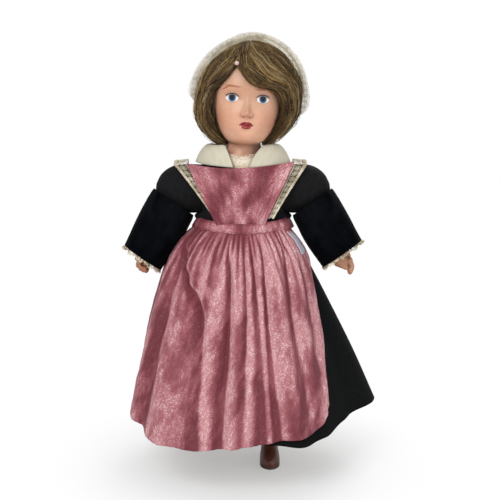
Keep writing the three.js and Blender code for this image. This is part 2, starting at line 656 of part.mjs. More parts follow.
// The relief of the face: nose, bridge, lips and the two eye sockets.
function faceRelief(x, z) {
  const bump = (middleX, middleZ, wide, tall) =>
    Math.exp(-(((x - middleX) / wide) ** 2) - ((z - middleZ) / tall) ** 2);
  const { noseHeight, eyeHeight, eyeSpread } = face;
  const nose = bump(0, noseHeight, eyeSpread * 0.34, noseHeight * 0.14);
  const bridge = bump(0, mix(noseHeight, eyeHeight, 0.6), eyeSpread * 0.3, noseHeight * 0.2);
  const sockets = [-1, 1].reduce((sum, side) =>
    sum + bump(side * eyeSpread, eyeHeight, eyeSpread * 0.5, noseHeight * 0.12), 0);
  const mouth = bump(0, noseHeight - eyeSpread * 0.75, eyeSpread * 0.5, noseHeight * 0.09);
  return face.nose * (nose + 0.3 * bridge) - face.socket * sockets + face.lips * mouth;
}

// Rings of the head about the middle of the neck ball. Their columns crowd towards the face.
function headRings(proud) {
  const around = (place) => range(headSides).map((k) => {
    const turn = (2 * Math.PI * k) / headSides;
    return place(turn - faceCrowding * Math.sin(turn));
  });
  const seatRows = [-0.9, -0.6, -0.25, 0.1].map((rise) => {
    const radius = neckBall * Math.sqrt(1 - rise ** 2) + proud;
    return around((angle) => point(radius * Math.sin(angle), -radius * Math.cos(angle), neckBall * rise));
  });
  const rows = headShares.map(([low, high, wide, ahead, behind]) => around((angle) => {
    const front = head.halfDepth * ahead + proud;
    const rear = head.halfDepth * behind + proud;
    const [x, y] = oval(angle, head.halfWidth * wide + proud, front, rear, 2.15);
    const lift = proud * Math.max(low - 0.6, 0) * 2.5;
    const z = head.height * mix(high, low, 0.5 + 0.5 * Math.cos(angle)) + lift;
    return point(x, y - (y < 0 ? faceRelief(x, z) : 0), z);
  }));
  return [...seatRows, ...rows];
}

function headShell() {
  const boreFloor = -neckBall + neckPlug.ledge;
  const boreTop = head.height * 0.3;
  const inside = limb([
    { z: head.height * 0.2, wide: neckPlug.radius + seat },
    { z: head.height * 0.32, wide: head.halfWidth * 0.72, deep: head.halfDepth * 0.68 },
    { z: head.height * 0.55, wide: head.halfWidth - shellWall, deep: head.halfDepth - shellWall * 1.4 },
    { z: head.height * 0.78, wide: head.halfWidth - shellWall * 1.6, deep: head.halfDepth - shellWall * 2 },
    { z: crownHeight, wide: head.crownRadius, deep: head.crownRadius },
    { z: head.height + cutOverrun, wide: head.crownRadius, deep: head.crownRadius },
  ], crownSides);
  const bore = rod(neckPlug.radius + seat, boreTop - boreFloor, 0, 0, (boreTop + boreFloor) / 2, 16);
  const throat = rod(hook.button * 1.1, neckBall * 2, 0, 0, -neckBall, 12);
  return piece("head_shell", cut(loft(headRings(0)), inside, bore, throat), skinPaint);
}

function makeNeckPlug() {
  const middle = -neckBall + neckPlug.ledge + seat + neckPlug.height / 2;
  const disc = rod(neckPlug.radius, neckPlug.height, 0, 0, middle, 16);
  return piece("neck_plug", cut(disc, rod(neckPlug.bore, neckPlug.height * 2, 0, 0, middle, 10)), wood);
}

// The pate is a shallow lid that drops into the open crown.
function crownPate() {
  const rim = head.crownRadius - seat;
  const rings = [[0.93, -0.1], [1, 0.02], [0.97, 0.1], [0.6, 0.62], [0.2, 0.78]];
  return piece("crown_pate", limb(rings.map(([share, rise]) => ({
    z: crownHeight + head.crownDepth * rise, wide: rim * share,
  })), crownSides), composition);
}

// The head standing a little proud, for the wig cap and for the hollow of the wig.
const scalp = (proud) => loft(headRings(proud));

function makeWigCap() {
  const reach = head.halfWidth + cutOverrun;
  const below = block(point(-reach, -reach, -reach * 2), point(reach, reach, 0))
    .rotateX(-wigCap.tilt).translate(0, 0, head.height * wigCap.edgeShare);
  const shell = cut(scalp(wigCap.gap + wigCap.wall), scalp(wigCap.gap), below);
  return piece("wig_cap", shell, linen);
}

// Reach of the hair from its middle in one direction.
function hairReach(direction) {
  const deep = direction.y < 0 ? hair.front : hair.rear;
  const tall = direction.z < 0 ? hairDown : hairUp;
  return 1 / Math.hypot(direction.x / hair.halfWidth, direction.y / deep, direction.z / tall);
}

function hairMass() {
  const geometry = new THREE.SphereGeometry(1, 20, 12).rotateX(Math.PI / 2);
  const places = geometry.attributes.position;
  range(places.count).forEach((k) => {
    const direction = new THREE.Vector3().fromBufferAttribute(places, k).normalize();
    const reach = hairReach(direction);
    places.setXYZ(k, direction.x * reach, direction.y * reach + hair.back, direction.z * reach + hairMiddle);
  });
  return geometry;
}

// The outline of the face that the hair leaves open: across and up, as shares of the head.
const faceShares = [
  [-0.33, 0.85], [-0.2, 0.83], [0.07, 0.715], [0.3, 0.63], [0.72, 0.65], [0.92, 0.6], [0.93, 0.4],
  [0.84, 0.28], [0.62, 0.12], [0.62, -0.2], [-0.62, -0.2], [-0.62, 0.12], [-0.84, 0.26], [-0.93, 0.4],
  [-0.93, 0.63], [-0.6, 0.7], [-0.4, 0.83],
];

function faceWindow() {
  const outline = new THREE.Shape(faceShares.map(([across, up]) =>
    new THREE.Vector2(across * head.halfWidth, up * head.height)));
  const depth = hair.front + cutOverrun;
  return new THREE.ExtrudeGeometry(outline, { depth, bevelEnabled: false })
    .rotateX(Math.PI / 2).translate(0, -head.halfDepth * 0.2, 0);
}

// The pin's pearl rests on the hair, in front and a little to one side.
function pinShape(extra) {
  const fill = 1 - (hairPin.side / hair.halfWidth) ** 2 - hairPin.riseShare ** 2;
  const front = hair.back - hair.front * Math.sqrt(fill) - hairPin.pearl - seat;
  const radius = hairPin.shaft + extra;
  const shaft = new THREE.CylinderGeometry(radius, radius, hairPin.length, 6);
  const bead = new THREE.SphereGeometry(hairPin.pearl + extra, 8, 6).translate(0, hairPin.length / 2, 0);
  return join(shaft, bead).translate(0, -hairPin.length / 2, 0).rotateX(-Math.PI / 2 - hairPin.tilt)
    .translate(hairPin.side, front, hairMiddle + hairUp * hairPin.riseShare);
}

function makeWig() {
  const reach = hair.halfWidth + cutOverrun;
  const below = block(point(-reach, -reach, -reach), point(reach, reach, hair.hem));
  return piece("wig", cut(hairMass(), scalp(wigGap), faceWindow(), below, pinShape(seat)), mohair);
}

// The cap is a dish on the back of the hair; its rim flares and carries a lace edge.
const coifRimShares = [[0, 0.8], [45, 0.9], [90, 1], [120, 0.93], [150, 0.7], [180, 0.55]];
const coifPoint = (around, out, proud) => {
  const rim = 90 * degree * follow(coifRimShares, around / degree);
  const away = rim * out;
  const pole = point(0, Math.cos(coif.tilt), Math.sin(coif.tilt));
  const up = point(0, -Math.sin(coif.tilt), Math.cos(coif.tilt));
  return { away, pole, up, proud: proud + coif.gap + coif.flare * ease(Math.max((out - 0.6) / 0.4, 0)) };
};

function coifSurface(side, around, out, proud) {
  const { away, pole, up, proud: stand } = coifPoint(around, out, proud);
  const direction = pole.clone().multiplyScalar(Math.cos(away))
    .addScaledVector(up, Math.sin(away) * Math.cos(around))
    .addScaledVector(point(side, 0, 0), Math.sin(away) * Math.sin(around));
  return direction.multiplyScalar(hairReach(direction) + stand).add(point(0, hair.back, hairMiddle));
}

const aroundTurn = (share) => {
  const turn = 2 * Math.PI * share;
  return turn > Math.PI ? [-1, 2 * Math.PI - turn] : [1, turn];
};

function makeCoif() {
  const columns = 20;
  const ring = (out, proud) => range(columns).map((k) => {
    const [side, around] = aroundTurn(k / columns);
    return coifSurface(side, around, out, proud);
  });
  const steps = [0.08, 0.36, 0.66, 1];
  const inner = steps.map((out) => ring(out, 0));
  const outer = steps.toReversed().map((out) => ring(out, coif.wall));
  return piece("coif", loft([...inner, ...outer]), tulle);
}

function coifLace() {
  const columns = 32;
  const rim = (across, out, proud) => {
    const turn = mix(-coifEdge.half, coifEdge.half, across);
    const side = turn < 0 ? -1 : 1;
    const around = Math.abs(turn);
    const edge = coifSurface(side, around, 1, proud);
    const before = coifSurface(side, around, 0.94, proud);
    const forward = edge.clone().sub(before).normalize();
    const ripple = coifEdge.ripple * out * Math.sin((Math.PI * across * columns) / 2);
    const spread = edge.clone().sub(point(0, hair.back, hairMiddle)).normalize();
    return edge.addScaledVector(forward, seat + coifEdge.width * out * 0.75)
      .addScaledVector(spread, coifEdge.width * out * 0.4 + ripple);
  };
  const face = (proud) => range(2).map((r) => range(columns + 1).map((c) => rim(c / columns, r, proud)));
  return piece("coif_lace", wall(face(coif.wall), face(0)), creamLace);
}

// An arm about its shoulder pivot, hanging down and splayed outward; side is 1 on the doll's left.
// Its rows: out and down as shares of the arm's length, then half width and half depth.
const armRows = [
  [0.03, 0.03, arm.upper * 0.9, arm.upper * 0.9], [0.12, 0.15, arm.upper, arm.upper],
  [0.2, 0.28, arm.upper * 0.97, arm.upper * 0.97], [0.295, 0.4, arm.elbow, arm.elbow],
  [0.37, 0.5, arm.elbow * 0.86, arm.elbow * 0.86], [0.435, 0.583, arm.wrist, arm.wrist],
  [0.474, 0.647, arm.wrist * 0.8, arm.palm], [0.513, 0.724, arm.wrist * 0.72, arm.palm * 1.02],
  [0.532, 0.763, arm.wrist * 0.55, arm.palm * 0.9],
];
const fingerShares = [0.86, 1, 0.95, 0.8];

function armSolid(side) {
  const lean = side * armSplay;
  const place = (out, down) => ({ x: side * arm.length * out, z: -arm.length * down, lean });
  const fingers = fingerShares.map((reach, k) => {
    const y = arm.palm * (k * 0.5 - 0.75);
    return limb([0, 0.55, 1].map((share) => ({
      ...place(mix(0.513, 0.558, share * reach), mix(0.718, 0.853, share * reach)),
      y: y * mix(1, 0.85, share) - arm.finger * 2.4 * share ** 2,
      wide: arm.finger * (1 - 0.35 * share ** 2),
    })), fingerSides);
  });
  const thumb = limb([0, 0.5, 1].map((share) => ({
    ...place(mix(0.474, 0.48, share), mix(0.654, 0.776, share)),
    y: -arm.palm * mix(0.6, 1.25, share), wide: arm.finger * (1.05 - 0.4 * share),
  })), fingerSides);
  const length = limb(armRows.map(([out, down, wide, deep]) => ({ ...place(out, down), wide, deep })));
  return join(length, ball(shoulderBall, 0, 0, 0), ...fingers, thumb);
}

// The ball is bored along the joint's axis for the elastic, its knot and the washer that holds the knot.
function makeArm(name, side) {
  const boreMiddle = -side * (shoulderBall + washer.depth);
  const bore = crossRod(cord.radius + seat * 2, shoulderBall * 2, boreMiddle, 0, 0, 10);
  const outerEnd = cord.bead - knotDepth + seat * 2;
  const length = washer.depth + seat + outerEnd;
  const pocket = crossRod(washer.radius + seat, length, side * (outerEnd - length / 2), 0, 0, 10);
  return piece(name, cut(armSolid(side), bore, pocket), skinPaint);
}

function makeWasher(name, side) {
  const place = -side * (washer.depth - washer.thickness / 2);
  const disc = crossRod(washer.radius, washer.thickness, place, 0, 0, 10);
  return piece(name, cut(disc, crossRod(washer.bore, washer.thickness * 4, place, 0, 0, 8)), steel);
}

// The upper sleeve is a hood turned about the shoulder axis, cut off at the seam.
const hoodShares = [
  [-0.39, 0.985], [-0.1, 1], [0.22, 1], [0.45, 0.94], [0.66, 0.8], [0.84, 0.56], [0.96, 0.25],
];

function makeHood(name, side) {
  const turned = (inset, lead) => loft(hoodShares.map(([out, share], k) => range(16).map((c) => {
    const angle = (2 * Math.PI * c) / 16;
    const radius = armhole.radius * share - inset;
    const x = out * sleeve.hood - (k ? inset : lead);
    return point(side * x, radius * Math.cos(angle), radius * Math.sin(angle));
  })));
  const seam = block(point(-cutOverrun, -cutOverrun, -2 * cutOverrun), point(cutOverrun, cutOverrun, 0))
    .rotateY(-side * armSplay).translate(side * sleeve.seamOut, 0, -sleeve.seamDown);
  return piece(name, cut(turned(0, 0), turned(cloth, cutOverrun / 8), seam), blackCloth);
}

// The bell sleeve's wall from the seam to the cuff: place along, half width and half depth, as shares.
const bellShares = [
  [0, 0.8, 0.88], [0.05, 0.96, 0.99], [0.3, 1, 1], [0.6, 0.98, 1.02], [0.85, 0.9, 1], [1, 0.86, 0.95],
];

function bellRing(side, along, wide, deep, sides) {
  const middleX = mix(sleeve.seamOut, sleeve.cuffOut, along) + seat * Math.sin(armSplay);
  const middleZ = -mix(sleeve.seamDown, sleeve.cuffDown, along) - seat * Math.cos(armSplay);
  return range(sides).map((c) => {
    const angle = (2 * Math.PI * c) / sides;
    const out = wide(angle) * Math.cos(angle);
    const x = side * (middleX + out * Math.cos(armSplay));
    return point(x, deep(angle) * Math.sin(angle), middleZ + out * Math.sin(armSplay));
  });
}

function makeBell(name, side) {
  const face = (inset) => bellShares.map(([along, wide, deep]) =>
    bellRing(side, along, () => sleeve.halfWidth * wide - inset, () => sleeve.halfDepth * deep - inset, 18));
  return piece(name, wall(face(0), face(velvet), true), blackVelvet);
}

function makeCuff(name, side) {
  const length = Math.hypot(sleeve.cuffOut - sleeve.seamOut, sleeve.cuffDown - sleeve.seamDown);
  const face = (inset) => range(2).map((r) => {
    const along = 1 + (seat * 2 + cuff.length * r) / length;
    const wave = (angle) => cuff.ripple * r * Math.cos(cuff.waves * angle);
    return bellRing(side, along, (angle) => sleeve.cuffHalfWidth - velvet / 2 - inset + wave(angle),
      (angle) => sleeve.cuffHalfDepth - velvet / 2 - inset + wave(angle), cuff.waves * 3);
  });
  return piece(name, wall(face(0), face(lace), true), creamLace);
}

// A leg about its hip pivot, with its foot.
const soleTop = foot.soleHeight - hipHeight;

// Foot rows: place from heel to toe, half width and height, as shares.
const footShares = [
  [0, 0.55, 0.72], [0.08, 0.8, 0.95], [0.45, 0.9, 1], [0.72, 1, 0.74], [0.9, 0.82, 0.5], [1, 0.3, 0.24],
];

function footRings(inset, lift) {
  return footShares.map(([along, wide, tall]) => {
    const y = mix(foot.length - foot.toeReach - inset, -foot.toeReach + inset, along);
    const half = foot.halfWidth * wide - inset;
    const top = foot.height * tall - inset;
    return range(7).map((k) => {
      const angle = (Math.PI * k) / 6;
      return point(half * Math.cos(angle), y, soleTop + lift + (top - lift) * Math.sin(angle) ** 0.8);
    });
  });
}

function legSolid() {
  const inset = foot.upper + seat;
  const ankle = soleTop + foot.height;
  const shaft = limb([
    { z: 0, wide: leg.thigh * 0.9 }, { z: -hipBall * 0.9, wide: leg.thigh * 0.94 },
    { z: -hipHeight * 0.17, wide: leg.thigh }, { z: -hipHeight * 0.32, wide: leg.thigh * 0.9 },
    { z: -hipHeight * 0.43, wide: leg.knee }, { z: -hipHeight * 0.58, wide: leg.calf, deep: leg.calf * 1.04 },
    { z: -hipHeight * 0.72, wide: leg.calf * 0.84 }, { z: ankle + foot.height * 0.4, wide: leg.ankle },
    { z: ankle - foot.height * 0.3, wide: leg.ankle * 0.95, y: foot.upper },
  ]);
  const footSolid = loft(footRings(inset, inset));
  return join(ball(hipBall, 0, 0, 0, 14), shaft, footSolid);
}

function makeLeg(name) {
  const low = point(-pin.slotWidth, -pin.slotReach, -pin.slotFloor);
  const slot = block(low, point(pin.slotWidth, pin.slotReach, hipBall * 2));
  const bore = crossRod(wire + seat, pin.halfLength * 2 + seat * 2, 0, 0, 0);
  return piece(name, cut(legSolid(), slot, bore), skinPaint);
}

function makeShoe(name) {
  const opening = block(
    point(-foot.halfWidth * 2, -foot.toeReach * 0.42, soleTop + foot.height * 0.74),
    point(foot.halfWidth * 2, foot.length, soleTop + foot.height * 2),
  );
  const inside = loft(footRings(foot.upper, foot.upper));
  const shank = rod(leg.ankle + seat * 2, foot.height, 0, foot.upper, soleTop + foot.height * 1.1, 12);
  return piece(name, cut(loft(footRings(0, seat)), inside, opening, shank), shoeLeather);
}

// The sole's outline swells at the ball of the foot and draws in at the waist.
const soleShares = [
  [0, 0], [0.02, 0.5], [0.1, 0.8], [0.3, 0.84], [0.45, 0.8], [0.72, 1], [0.88, 0.84], [0.97, 0.45], [1, 0],
];

function makeSole(name) {
  const heel = foot.length - foot.toeReach;
  const edge = soleShares.map(([along, wide]) =>
    new THREE.Vector2(foot.halfWidth * wide, mix(heel, -foot.toeReach, along)));
  const other = edge.slice(1, -1).toReversed().map((p) => new THREE.Vector2(-p.x, p.y));
  const outline = new THREE.Shape([...edge, ...other]);
  const geometry = new THREE.ExtrudeGeometry(outline, { depth: foot.soleHeight, bevelEnabled: false });
  return piece(name, geometry.translate(0, 0, -hipHeight), soleLeather);
}

// The groups that turn together.
const doll = new THREE.Group();
doll.add(...torsoHalves(), armElastic(), bodyElastic(), neckHook());
doll.add(makeBodice(), collarFlap("collar_left", 1), collarFlap("collar_right", -1), makeNeckLace());
doll.add(makeBib(), laceBand("lace_band_left", 1), laceBand("lace_band_right", -1));
doll.add(makePetticoat(), makeSkirt(), makeApron(), makeWaistband(), makeTie(), makeBow(), ribbonEnd());

const headGroup = new THREE.Group();
headGroup.position.set(0, 0, neckHeight);
headGroup.rotation.set(0, headRoll, headYaw);
headGroup.add(headShell(), makeNeckPlug(), crownPate(), makeWigCap(), makeWig(), makeCoif(), coifLace());
headGroup.add(piece("hair_pin", pinShape(0), pearl));
doll.add(headGroup);

for (const [word, side] of [["left", 1], ["right", -1]]) {
  const armGroup = new THREE.Group();
  armGroup.position.set(side * shoulderSpread, 0, shoulderHeight);
  armGroup.rotation.x = -armSwing;
  armGroup.add(makeArm(`arm_${word}`, side), makeWasher(`shoulder_washer_${word}`, side));
  armGroup.add(makeHood(`sleeve_upper_${word}`, side), makeBell(`sleeve_lower_${word}`, side));
  armGroup.add(makeCuff(`cuff_lace_${word}`, side));
  doll.add(armGroup);

  // The doll's right leg swings back until only the toe of its shoe touches the floor.
  const legGroup = new THREE.Group();
  legGroup.position.set(side * hipSpread, 0, hipHeight);
  legGroup.rotation.x = side > 0 ? 0 : 2 * Math.atan(foot.toeReach / hipHeight);
  const hipPin = piece(`hip_pin_${word}`, crossRod(wire, pin.halfLength * 2, 0, 0, 0), steel);
  legGroup.add(makeLeg(`leg_${word}`), hipPin, makeShoe(`shoe_${word}`), makeSole(`shoe_sole_${word}`));
  doll.add(legGroup);
}

// The origin is the middle of the doll's outline on the floor.
const outline = new THREE.Box3().setFromObject(doll, true);
const middle = outline.getCenter(new THREE.Vector3());
doll.position.set(-middle.x, -middle.y, -outline.min.z);
const part = new THREE.Group();
part.add(doll);
console.log("origin moved by", doll.position.toArray().map((v) => v.toFixed(3)).join(", "));

export default part;
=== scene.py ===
# %% [markdown]
# # A strung composition doll in a regional costume
# The doll is a set of painted composition pieces on elastics, dressed in velvet, net and lace.
# The CAD frame gives each piece its place and its moving body. Every cell below makes one piece
# or one finish around that frame, in the doll's own millimetres.

# %% The frame and the doll's own axis
import json
import math
import random

import bmesh
import bpy
from mathutils import Matrix, Vector, noise


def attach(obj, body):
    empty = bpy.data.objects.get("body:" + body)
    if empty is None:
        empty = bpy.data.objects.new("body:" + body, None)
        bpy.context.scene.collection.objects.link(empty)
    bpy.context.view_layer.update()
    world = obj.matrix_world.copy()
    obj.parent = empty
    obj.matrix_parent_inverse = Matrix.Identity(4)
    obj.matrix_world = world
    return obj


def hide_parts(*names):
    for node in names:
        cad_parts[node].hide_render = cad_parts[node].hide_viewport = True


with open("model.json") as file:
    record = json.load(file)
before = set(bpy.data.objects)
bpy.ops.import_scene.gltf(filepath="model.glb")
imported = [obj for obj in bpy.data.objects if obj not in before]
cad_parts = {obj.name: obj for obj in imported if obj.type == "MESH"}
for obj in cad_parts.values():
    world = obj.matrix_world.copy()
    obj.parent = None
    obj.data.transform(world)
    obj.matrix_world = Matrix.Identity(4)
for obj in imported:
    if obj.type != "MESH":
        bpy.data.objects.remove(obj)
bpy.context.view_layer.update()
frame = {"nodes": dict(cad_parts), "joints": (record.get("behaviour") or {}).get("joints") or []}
joint_place = {joint["name"]: Vector(joint["pos_m"]) for joint in frame["joints"]}
AXIS = joint_place["neck_turn"]
MM = 0.001
DEGREE = math.pi / 180
SIDES = ((1, "left"), (-1, "right"))


def spot(x, y, z):
    """A place in millimetres from the doll's axis and the floor."""
    return Vector((AXIS.x + x * MM, AXIS.y + y * MM, z * MM))


print("joints:", ", ".join(sorted(joint_place)))

# %% [markdown]
# ## Rows and ovals
# Dressmakers and doll makers both work from a few measured sections. `follow` rounds off a table
# of sections, and `oval` gives a rounded rectangle, which is how a waist or a jaw is shaped.

# %% Small helpers for shapes


def mix(a, b, share):
    return a + (b - a) * share


def clamp(value, low=0.0, high=1.0):
    return max(low, min(high, value))


def ease(share):
    share = clamp(share)
    return share * share * (3 - 2 * share)


def bump(value, middle, width):
    return math.exp(-(((value - middle) / width) ** 2))


def follow(rows, place, column=1):
    """A value from rows of (place, value, ...), rounded between the rows."""
    last = len(rows) - 2
    i = next((k - 1 for k, row in enumerate(rows) if row[0] > place), last)
    i = int(clamp(i, 0, last))

    def slope(k):
        before, after = rows[max(k - 1, 0)], rows[min(k + 1, len(rows) - 1)]
        return (after[column] - before[column]) / (after[0] - before[0])

    span = rows[i + 1][0] - rows[i][0]
    t = clamp((place - rows[i][0]) / span)
    rise = rows[i + 1][column] - rows[i][column]
    start, end = slope(i) * span, slope(i + 1) * span
    return rows[i][column] + t * (start + t * (3 * rise - 2 * start - end + t * (start + end - 2 * rise)))


def oval(angle, half_width, front, rear=None, power=2.3):
    """A point on a rounded rectangle, from the front (-Y) towards +X."""
    rear = front if rear is None else rear
    across, along = math.sin(angle), -math.cos(angle)
    depth = front if along < 0 else rear
    fill = abs(across / half_width) ** power + abs(along / depth) ** power
    reach = fill ** (-1 / power)
    return reach * across, reach * along


def rough(x, y, z, size, seed=0.0):
    """Smooth noise from -1 to 1 whose lumps are about `size` apart."""
    return noise.noise(Vector((x / size + seed, y / size - seed, z / size + 2 * seed)))


print("one rounded value:", round(follow([(0, 0), (1, 2), (2, 3)], 0.5), 3))

# %% [markdown]
# ## One way to make every skin
# A sheet of cloth, a limb and a head are all one grid whose points are moved into place, as a
# sculptor pulls a sheet of clay round a form. The grid keeps its own flat places as a UV map in
# metres, so threads and pile follow the cloth. Solidify then gives a sheet its thickness.

# %% From a grid to a piece


def grid_form(columns, rows, place, size=(1.0, 1.0), wrap=False, shade=None):
    """A bmesh grid moved so that share (u, v) lies at place(u, v)."""
    form = bmesh.new()
    bmesh.ops.create_grid(form, x_segments=columns, y_segments=rows, size=0.5)
    pattern = form.loops.layers.uv.new("cloth")
    lay_and_light = form.verts.layers.float.new("lay_and_light")
    for face in form.faces:
        for loop in face.loops:
            u, v = loop.vert.co.x + 0.5, loop.vert.co.y + 0.5
            loop[pattern].uv = (u * size[0], v * size[1])
    for vert in form.verts:
        u, v = vert.co.x + 0.5, vert.co.y + 0.5
        vert.co = place(u, v)
        if shade:
            vert[lay_and_light] = shade(u, v)
    if wrap:
        bmesh.ops.remove_doubles(form, verts=form.verts, dist=1e-6)
    bmesh.ops.recalc_face_normals(form, faces=form.faces)
    return form


def settle(name, form, body, finish, nodes=(), thickness=0.0, offset=0.0):
    """Turns a bmesh into a finished piece that rides on a body and stands for its CAD nodes."""
    for face in form.faces:
        face.smooth = True
    mesh = bpy.data.meshes.new(name)
    form.to_mesh(mesh)
    form.free()
    piece = bpy.data.objects.new(name, mesh)
    bpy.context.collection.objects.link(piece)
    mesh.materials.append(finish)
    if thickness:
        solid = piece.modifiers.new("thickness", "SOLIDIFY")
        solid.thickness = thickness * MM
        solid.offset = offset
    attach(piece, body)
    if nodes:
        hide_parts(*nodes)
    return piece


def strands_piece(name, paths, radius, body, finish, nodes=(), sides=0):
    """Fine threads: each path is a list of (place, share of the radius). They become one mesh."""
    curve = bpy.data.curves.new(name + "_line", "CURVE")
    curve.dimensions = "3D"
    curve.bevel_depth = radius * MM
    curve.bevel_resolution = sides
    curve.use_fill_caps = True
    for path in paths:
        line = curve.splines.new("POLY")
        line.points.add(len(path) - 1)
        for point, (place, share) in zip(line.points, path):
            point.co = (*place, 1.0)
            point.radius = share
    holder = bpy.data.objects.new(name + "_line", curve)
    bpy.context.collection.objects.link(holder)
    bpy.context.view_layer.update()
    mesh = bpy.data.meshes.new_from_object(holder.evaluated_get(bpy.context.evaluated_depsgraph_get()))
    bpy.data.objects.remove(holder)
    mesh.name = name
    mesh.materials.clear()
    mesh.materials.append(finish)
    for polygon in mesh.polygons:
        polygon.use_smooth = True
    piece = bpy.data.objects.new(name, mesh)
    bpy.context.collection.objects.link(piece)
    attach(piece, body)
    if nodes:
        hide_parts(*nodes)
    return piece


print("helpers ready")

# %% [markdown]
# ## Building materials from nodes
# A finish is a small graph of nodes. Writing one line per node keeps the graph readable. Effects
# that several finishes share, such as pile, weave and painted spots, are node groups: they only
# put out masks, heights and colours, and the shader itself stays in each material.

# %% Node helpers


def link_in(tree, socket, value):
    if isinstance(value, bpy.types.NodeSocket):
        tree.links.new(value, socket)
    else:
        socket.default_value = value


def node(tree, kind, inputs=None, **settings):
    made = tree.nodes.new(kind)
    for key, value in settings.items():
        setattr(made, key, value)
    for key, value in (inputs or {}).items():
        link_in(tree, made.inputs[key], value)
    return made


def math_node(tree, operation, a, b=0.0, c=0.0, clamped=False):
    return node(tree, "ShaderNodeMath", {0: a, 1: b, 2: c}, operation=operation, use_clamp=clamped).outputs[0]


def spread(tree, value, low, high, to_low=0.0, to_high=1.0):
    """Stretches the part of a value between low and high, with soft ends."""
    return node(tree, "ShaderNodeMapRange",
                {"Value": value, "From Min": low, "From Max": high, "To Min": to_low, "To Max": to_high},
                interpolation_type="SMOOTHSTEP").outputs[0]


def blend_colour(tree, mask, first, second, how="MIX"):
    made = node(tree, "ShaderNodeMix", data_type="RGBA", blend_type=how, clamp_factor=True)
    link_in(tree, made.inputs[0], mask)
    link_in(tree, made.inputs[6], first)
    link_in(tree, made.inputs[7], second)
    return made.outputs[2]


def colour(red, green, blue):
    """A colour given 0 to 255, as the linear values that nodes use."""
    def linear(value):
        value /= 255
        return value / 12.92 if value <= 0.04045 else ((value + 0.055) / 1.055) ** 2.4
    return (linear(red), linear(green), linear(blue), 1.0)


def new_group(name, ins, outs):
    tree = bpy.data.node_groups.new(name, "ShaderNodeTree")
    for label, kind, value in ins:
        made = tree.interface.new_socket(label, in_out="INPUT", socket_type="NodeSocket" + kind)
        made.default_value = value
    for label, kind in outs:
        tree.interface.new_socket(label, in_out="OUTPUT", socket_type="NodeSocket" + kind)
    return tree, tree.nodes.new("NodeGroupInput").outputs, tree.nodes.new("NodeGroupOutput").inputs


def use_group(tree, group, inputs):
    made = tree.nodes.new("ShaderNodeGroup")
    made.node_tree = group
    for key, value in inputs.items():
        link_in(tree, made.inputs[key], value)
    return made.outputs


def new_finish(name):
    """An empty material with its shader and its two kinds of places."""
    material = bpy.data.materials.new(name)
    material.use_nodes = True
    tree = material.node_tree
    shader = tree.nodes["Principled BSDF"]
    places = tree.nodes.new("ShaderNodeTexCoord").outputs["Object"]
    return material, tree, shader, places


def raise_surface(tree, shader, height, distance, strength=1.0):
    """Feeds a height, in shares of `distance` millimetres, to the shader's normal."""
    made = node(tree, "ShaderNodeBump", {"Strength": strength, "Distance": distance * MM, "Height": height})
    tree.links.new(made.outputs[0], shader.inputs["Normal"])


print("node helpers ready")

# %% [markdown]
# ## Effects that finishes share
# Pile lies in patches that catch or lose the light, and these patches run down the cloth. Its bright
# specks are painted glints, a painted highlight. Woven thread is two crossing waves. A painted spot is
# an ellipse with a soft edge, turned where needed: eyes, lips, brows and blush are all built from it,
# and so are the face's painted shade and painted highlight.

# %% Node groups: pile, weave, spots and mottling
pile_group, ins, outs = new_group(
    "pile", [("Place", "Vector", (0, 0, 0)), ("Patch", "Float", 40.0), ("Stretch", "Float", 0.4),
             ("Grain", "Float", 1300.0)],
    [("Lay", "Float"), ("Painted Glints", "Float"), ("Height", "Float")])
tree = pile_group
lengths = node(tree, "ShaderNodeCombineXYZ", {0: 1.0, 1: ins["Stretch"], 2: 1.0}).outputs[0]
flowing = node(tree, "ShaderNodeVectorMath", {0: ins["Place"], 1: lengths}, operation="MULTIPLY").outputs[0]
wide = node(tree, "ShaderNodeTexNoise",
            {"Vector": flowing, "Scale": ins["Patch"], "Detail": 2.0, "Distortion": 0.7}).outputs[0]
finer = math_node(tree, "MULTIPLY", ins["Patch"], 6.0)
middling = node(tree, "ShaderNodeTexNoise",
                {"Vector": flowing, "Scale": finer, "Detail": 4.0, "Distortion": 0.5}).outputs[0]
tufts = node(tree, "ShaderNodeTexVoronoi", {"Vector": ins["Place"], "Scale": ins["Grain"]}).outputs["Color"]
grain = node(tree, "ShaderNodeSeparateColor", {0: tufts}).outputs[0]
link_in(tree, outs["Lay"], spread(tree, math_node(tree, "ADD", math_node(tree, "MULTIPLY", wide, 0.8),
                                                  math_node(tree, "MULTIPLY", middling, 0.2)), 0.36, 0.64))
# Painted glints: bright specks of pile, a painted highlight.
painted_glints = spread(tree, grain, 0.35, 1.0)
link_in(tree, outs["Painted Glints"], math_node(tree, "MULTIPLY", painted_glints, spread(tree, middling, 0.34, 0.66, 0.35, 1.0)))
link_in(tree, outs["Height"], math_node(tree, "ADD", math_node(tree, "MULTIPLY", middling, 0.45),
                                        math_node(tree, "MULTIPLY", grain, 0.55)))

weave_group, ins, outs = new_group(
    "weave", [("Place", "Vector", (0, 0, 0)), ("Thread", "Float", 0.5)], [("Height", "Float"), ("Slub", "Float")])
tree = weave_group
parts = node(tree, "ShaderNodeSeparateXYZ", {0: ins["Place"]}).outputs
per_metre = math_node(tree, "DIVIDE", 2 * math.pi / MM, ins["Thread"])
waves = [math_node(tree, "SINE", math_node(tree, "MULTIPLY", parts[k], per_metre)) for k in (0, 1)]
crossed = math_node(tree, "MULTIPLY", waves[0], waves[1])
link_in(tree, outs["Height"], math_node(tree, "MULTIPLY_ADD", crossed, 0.5, 0.5))
link_in(tree, outs["Slub"], node(tree, "ShaderNodeTexNoise",
                                 {"Vector": ins["Place"], "Scale": 260.0, "Detail": 4.0}).outputs[0])

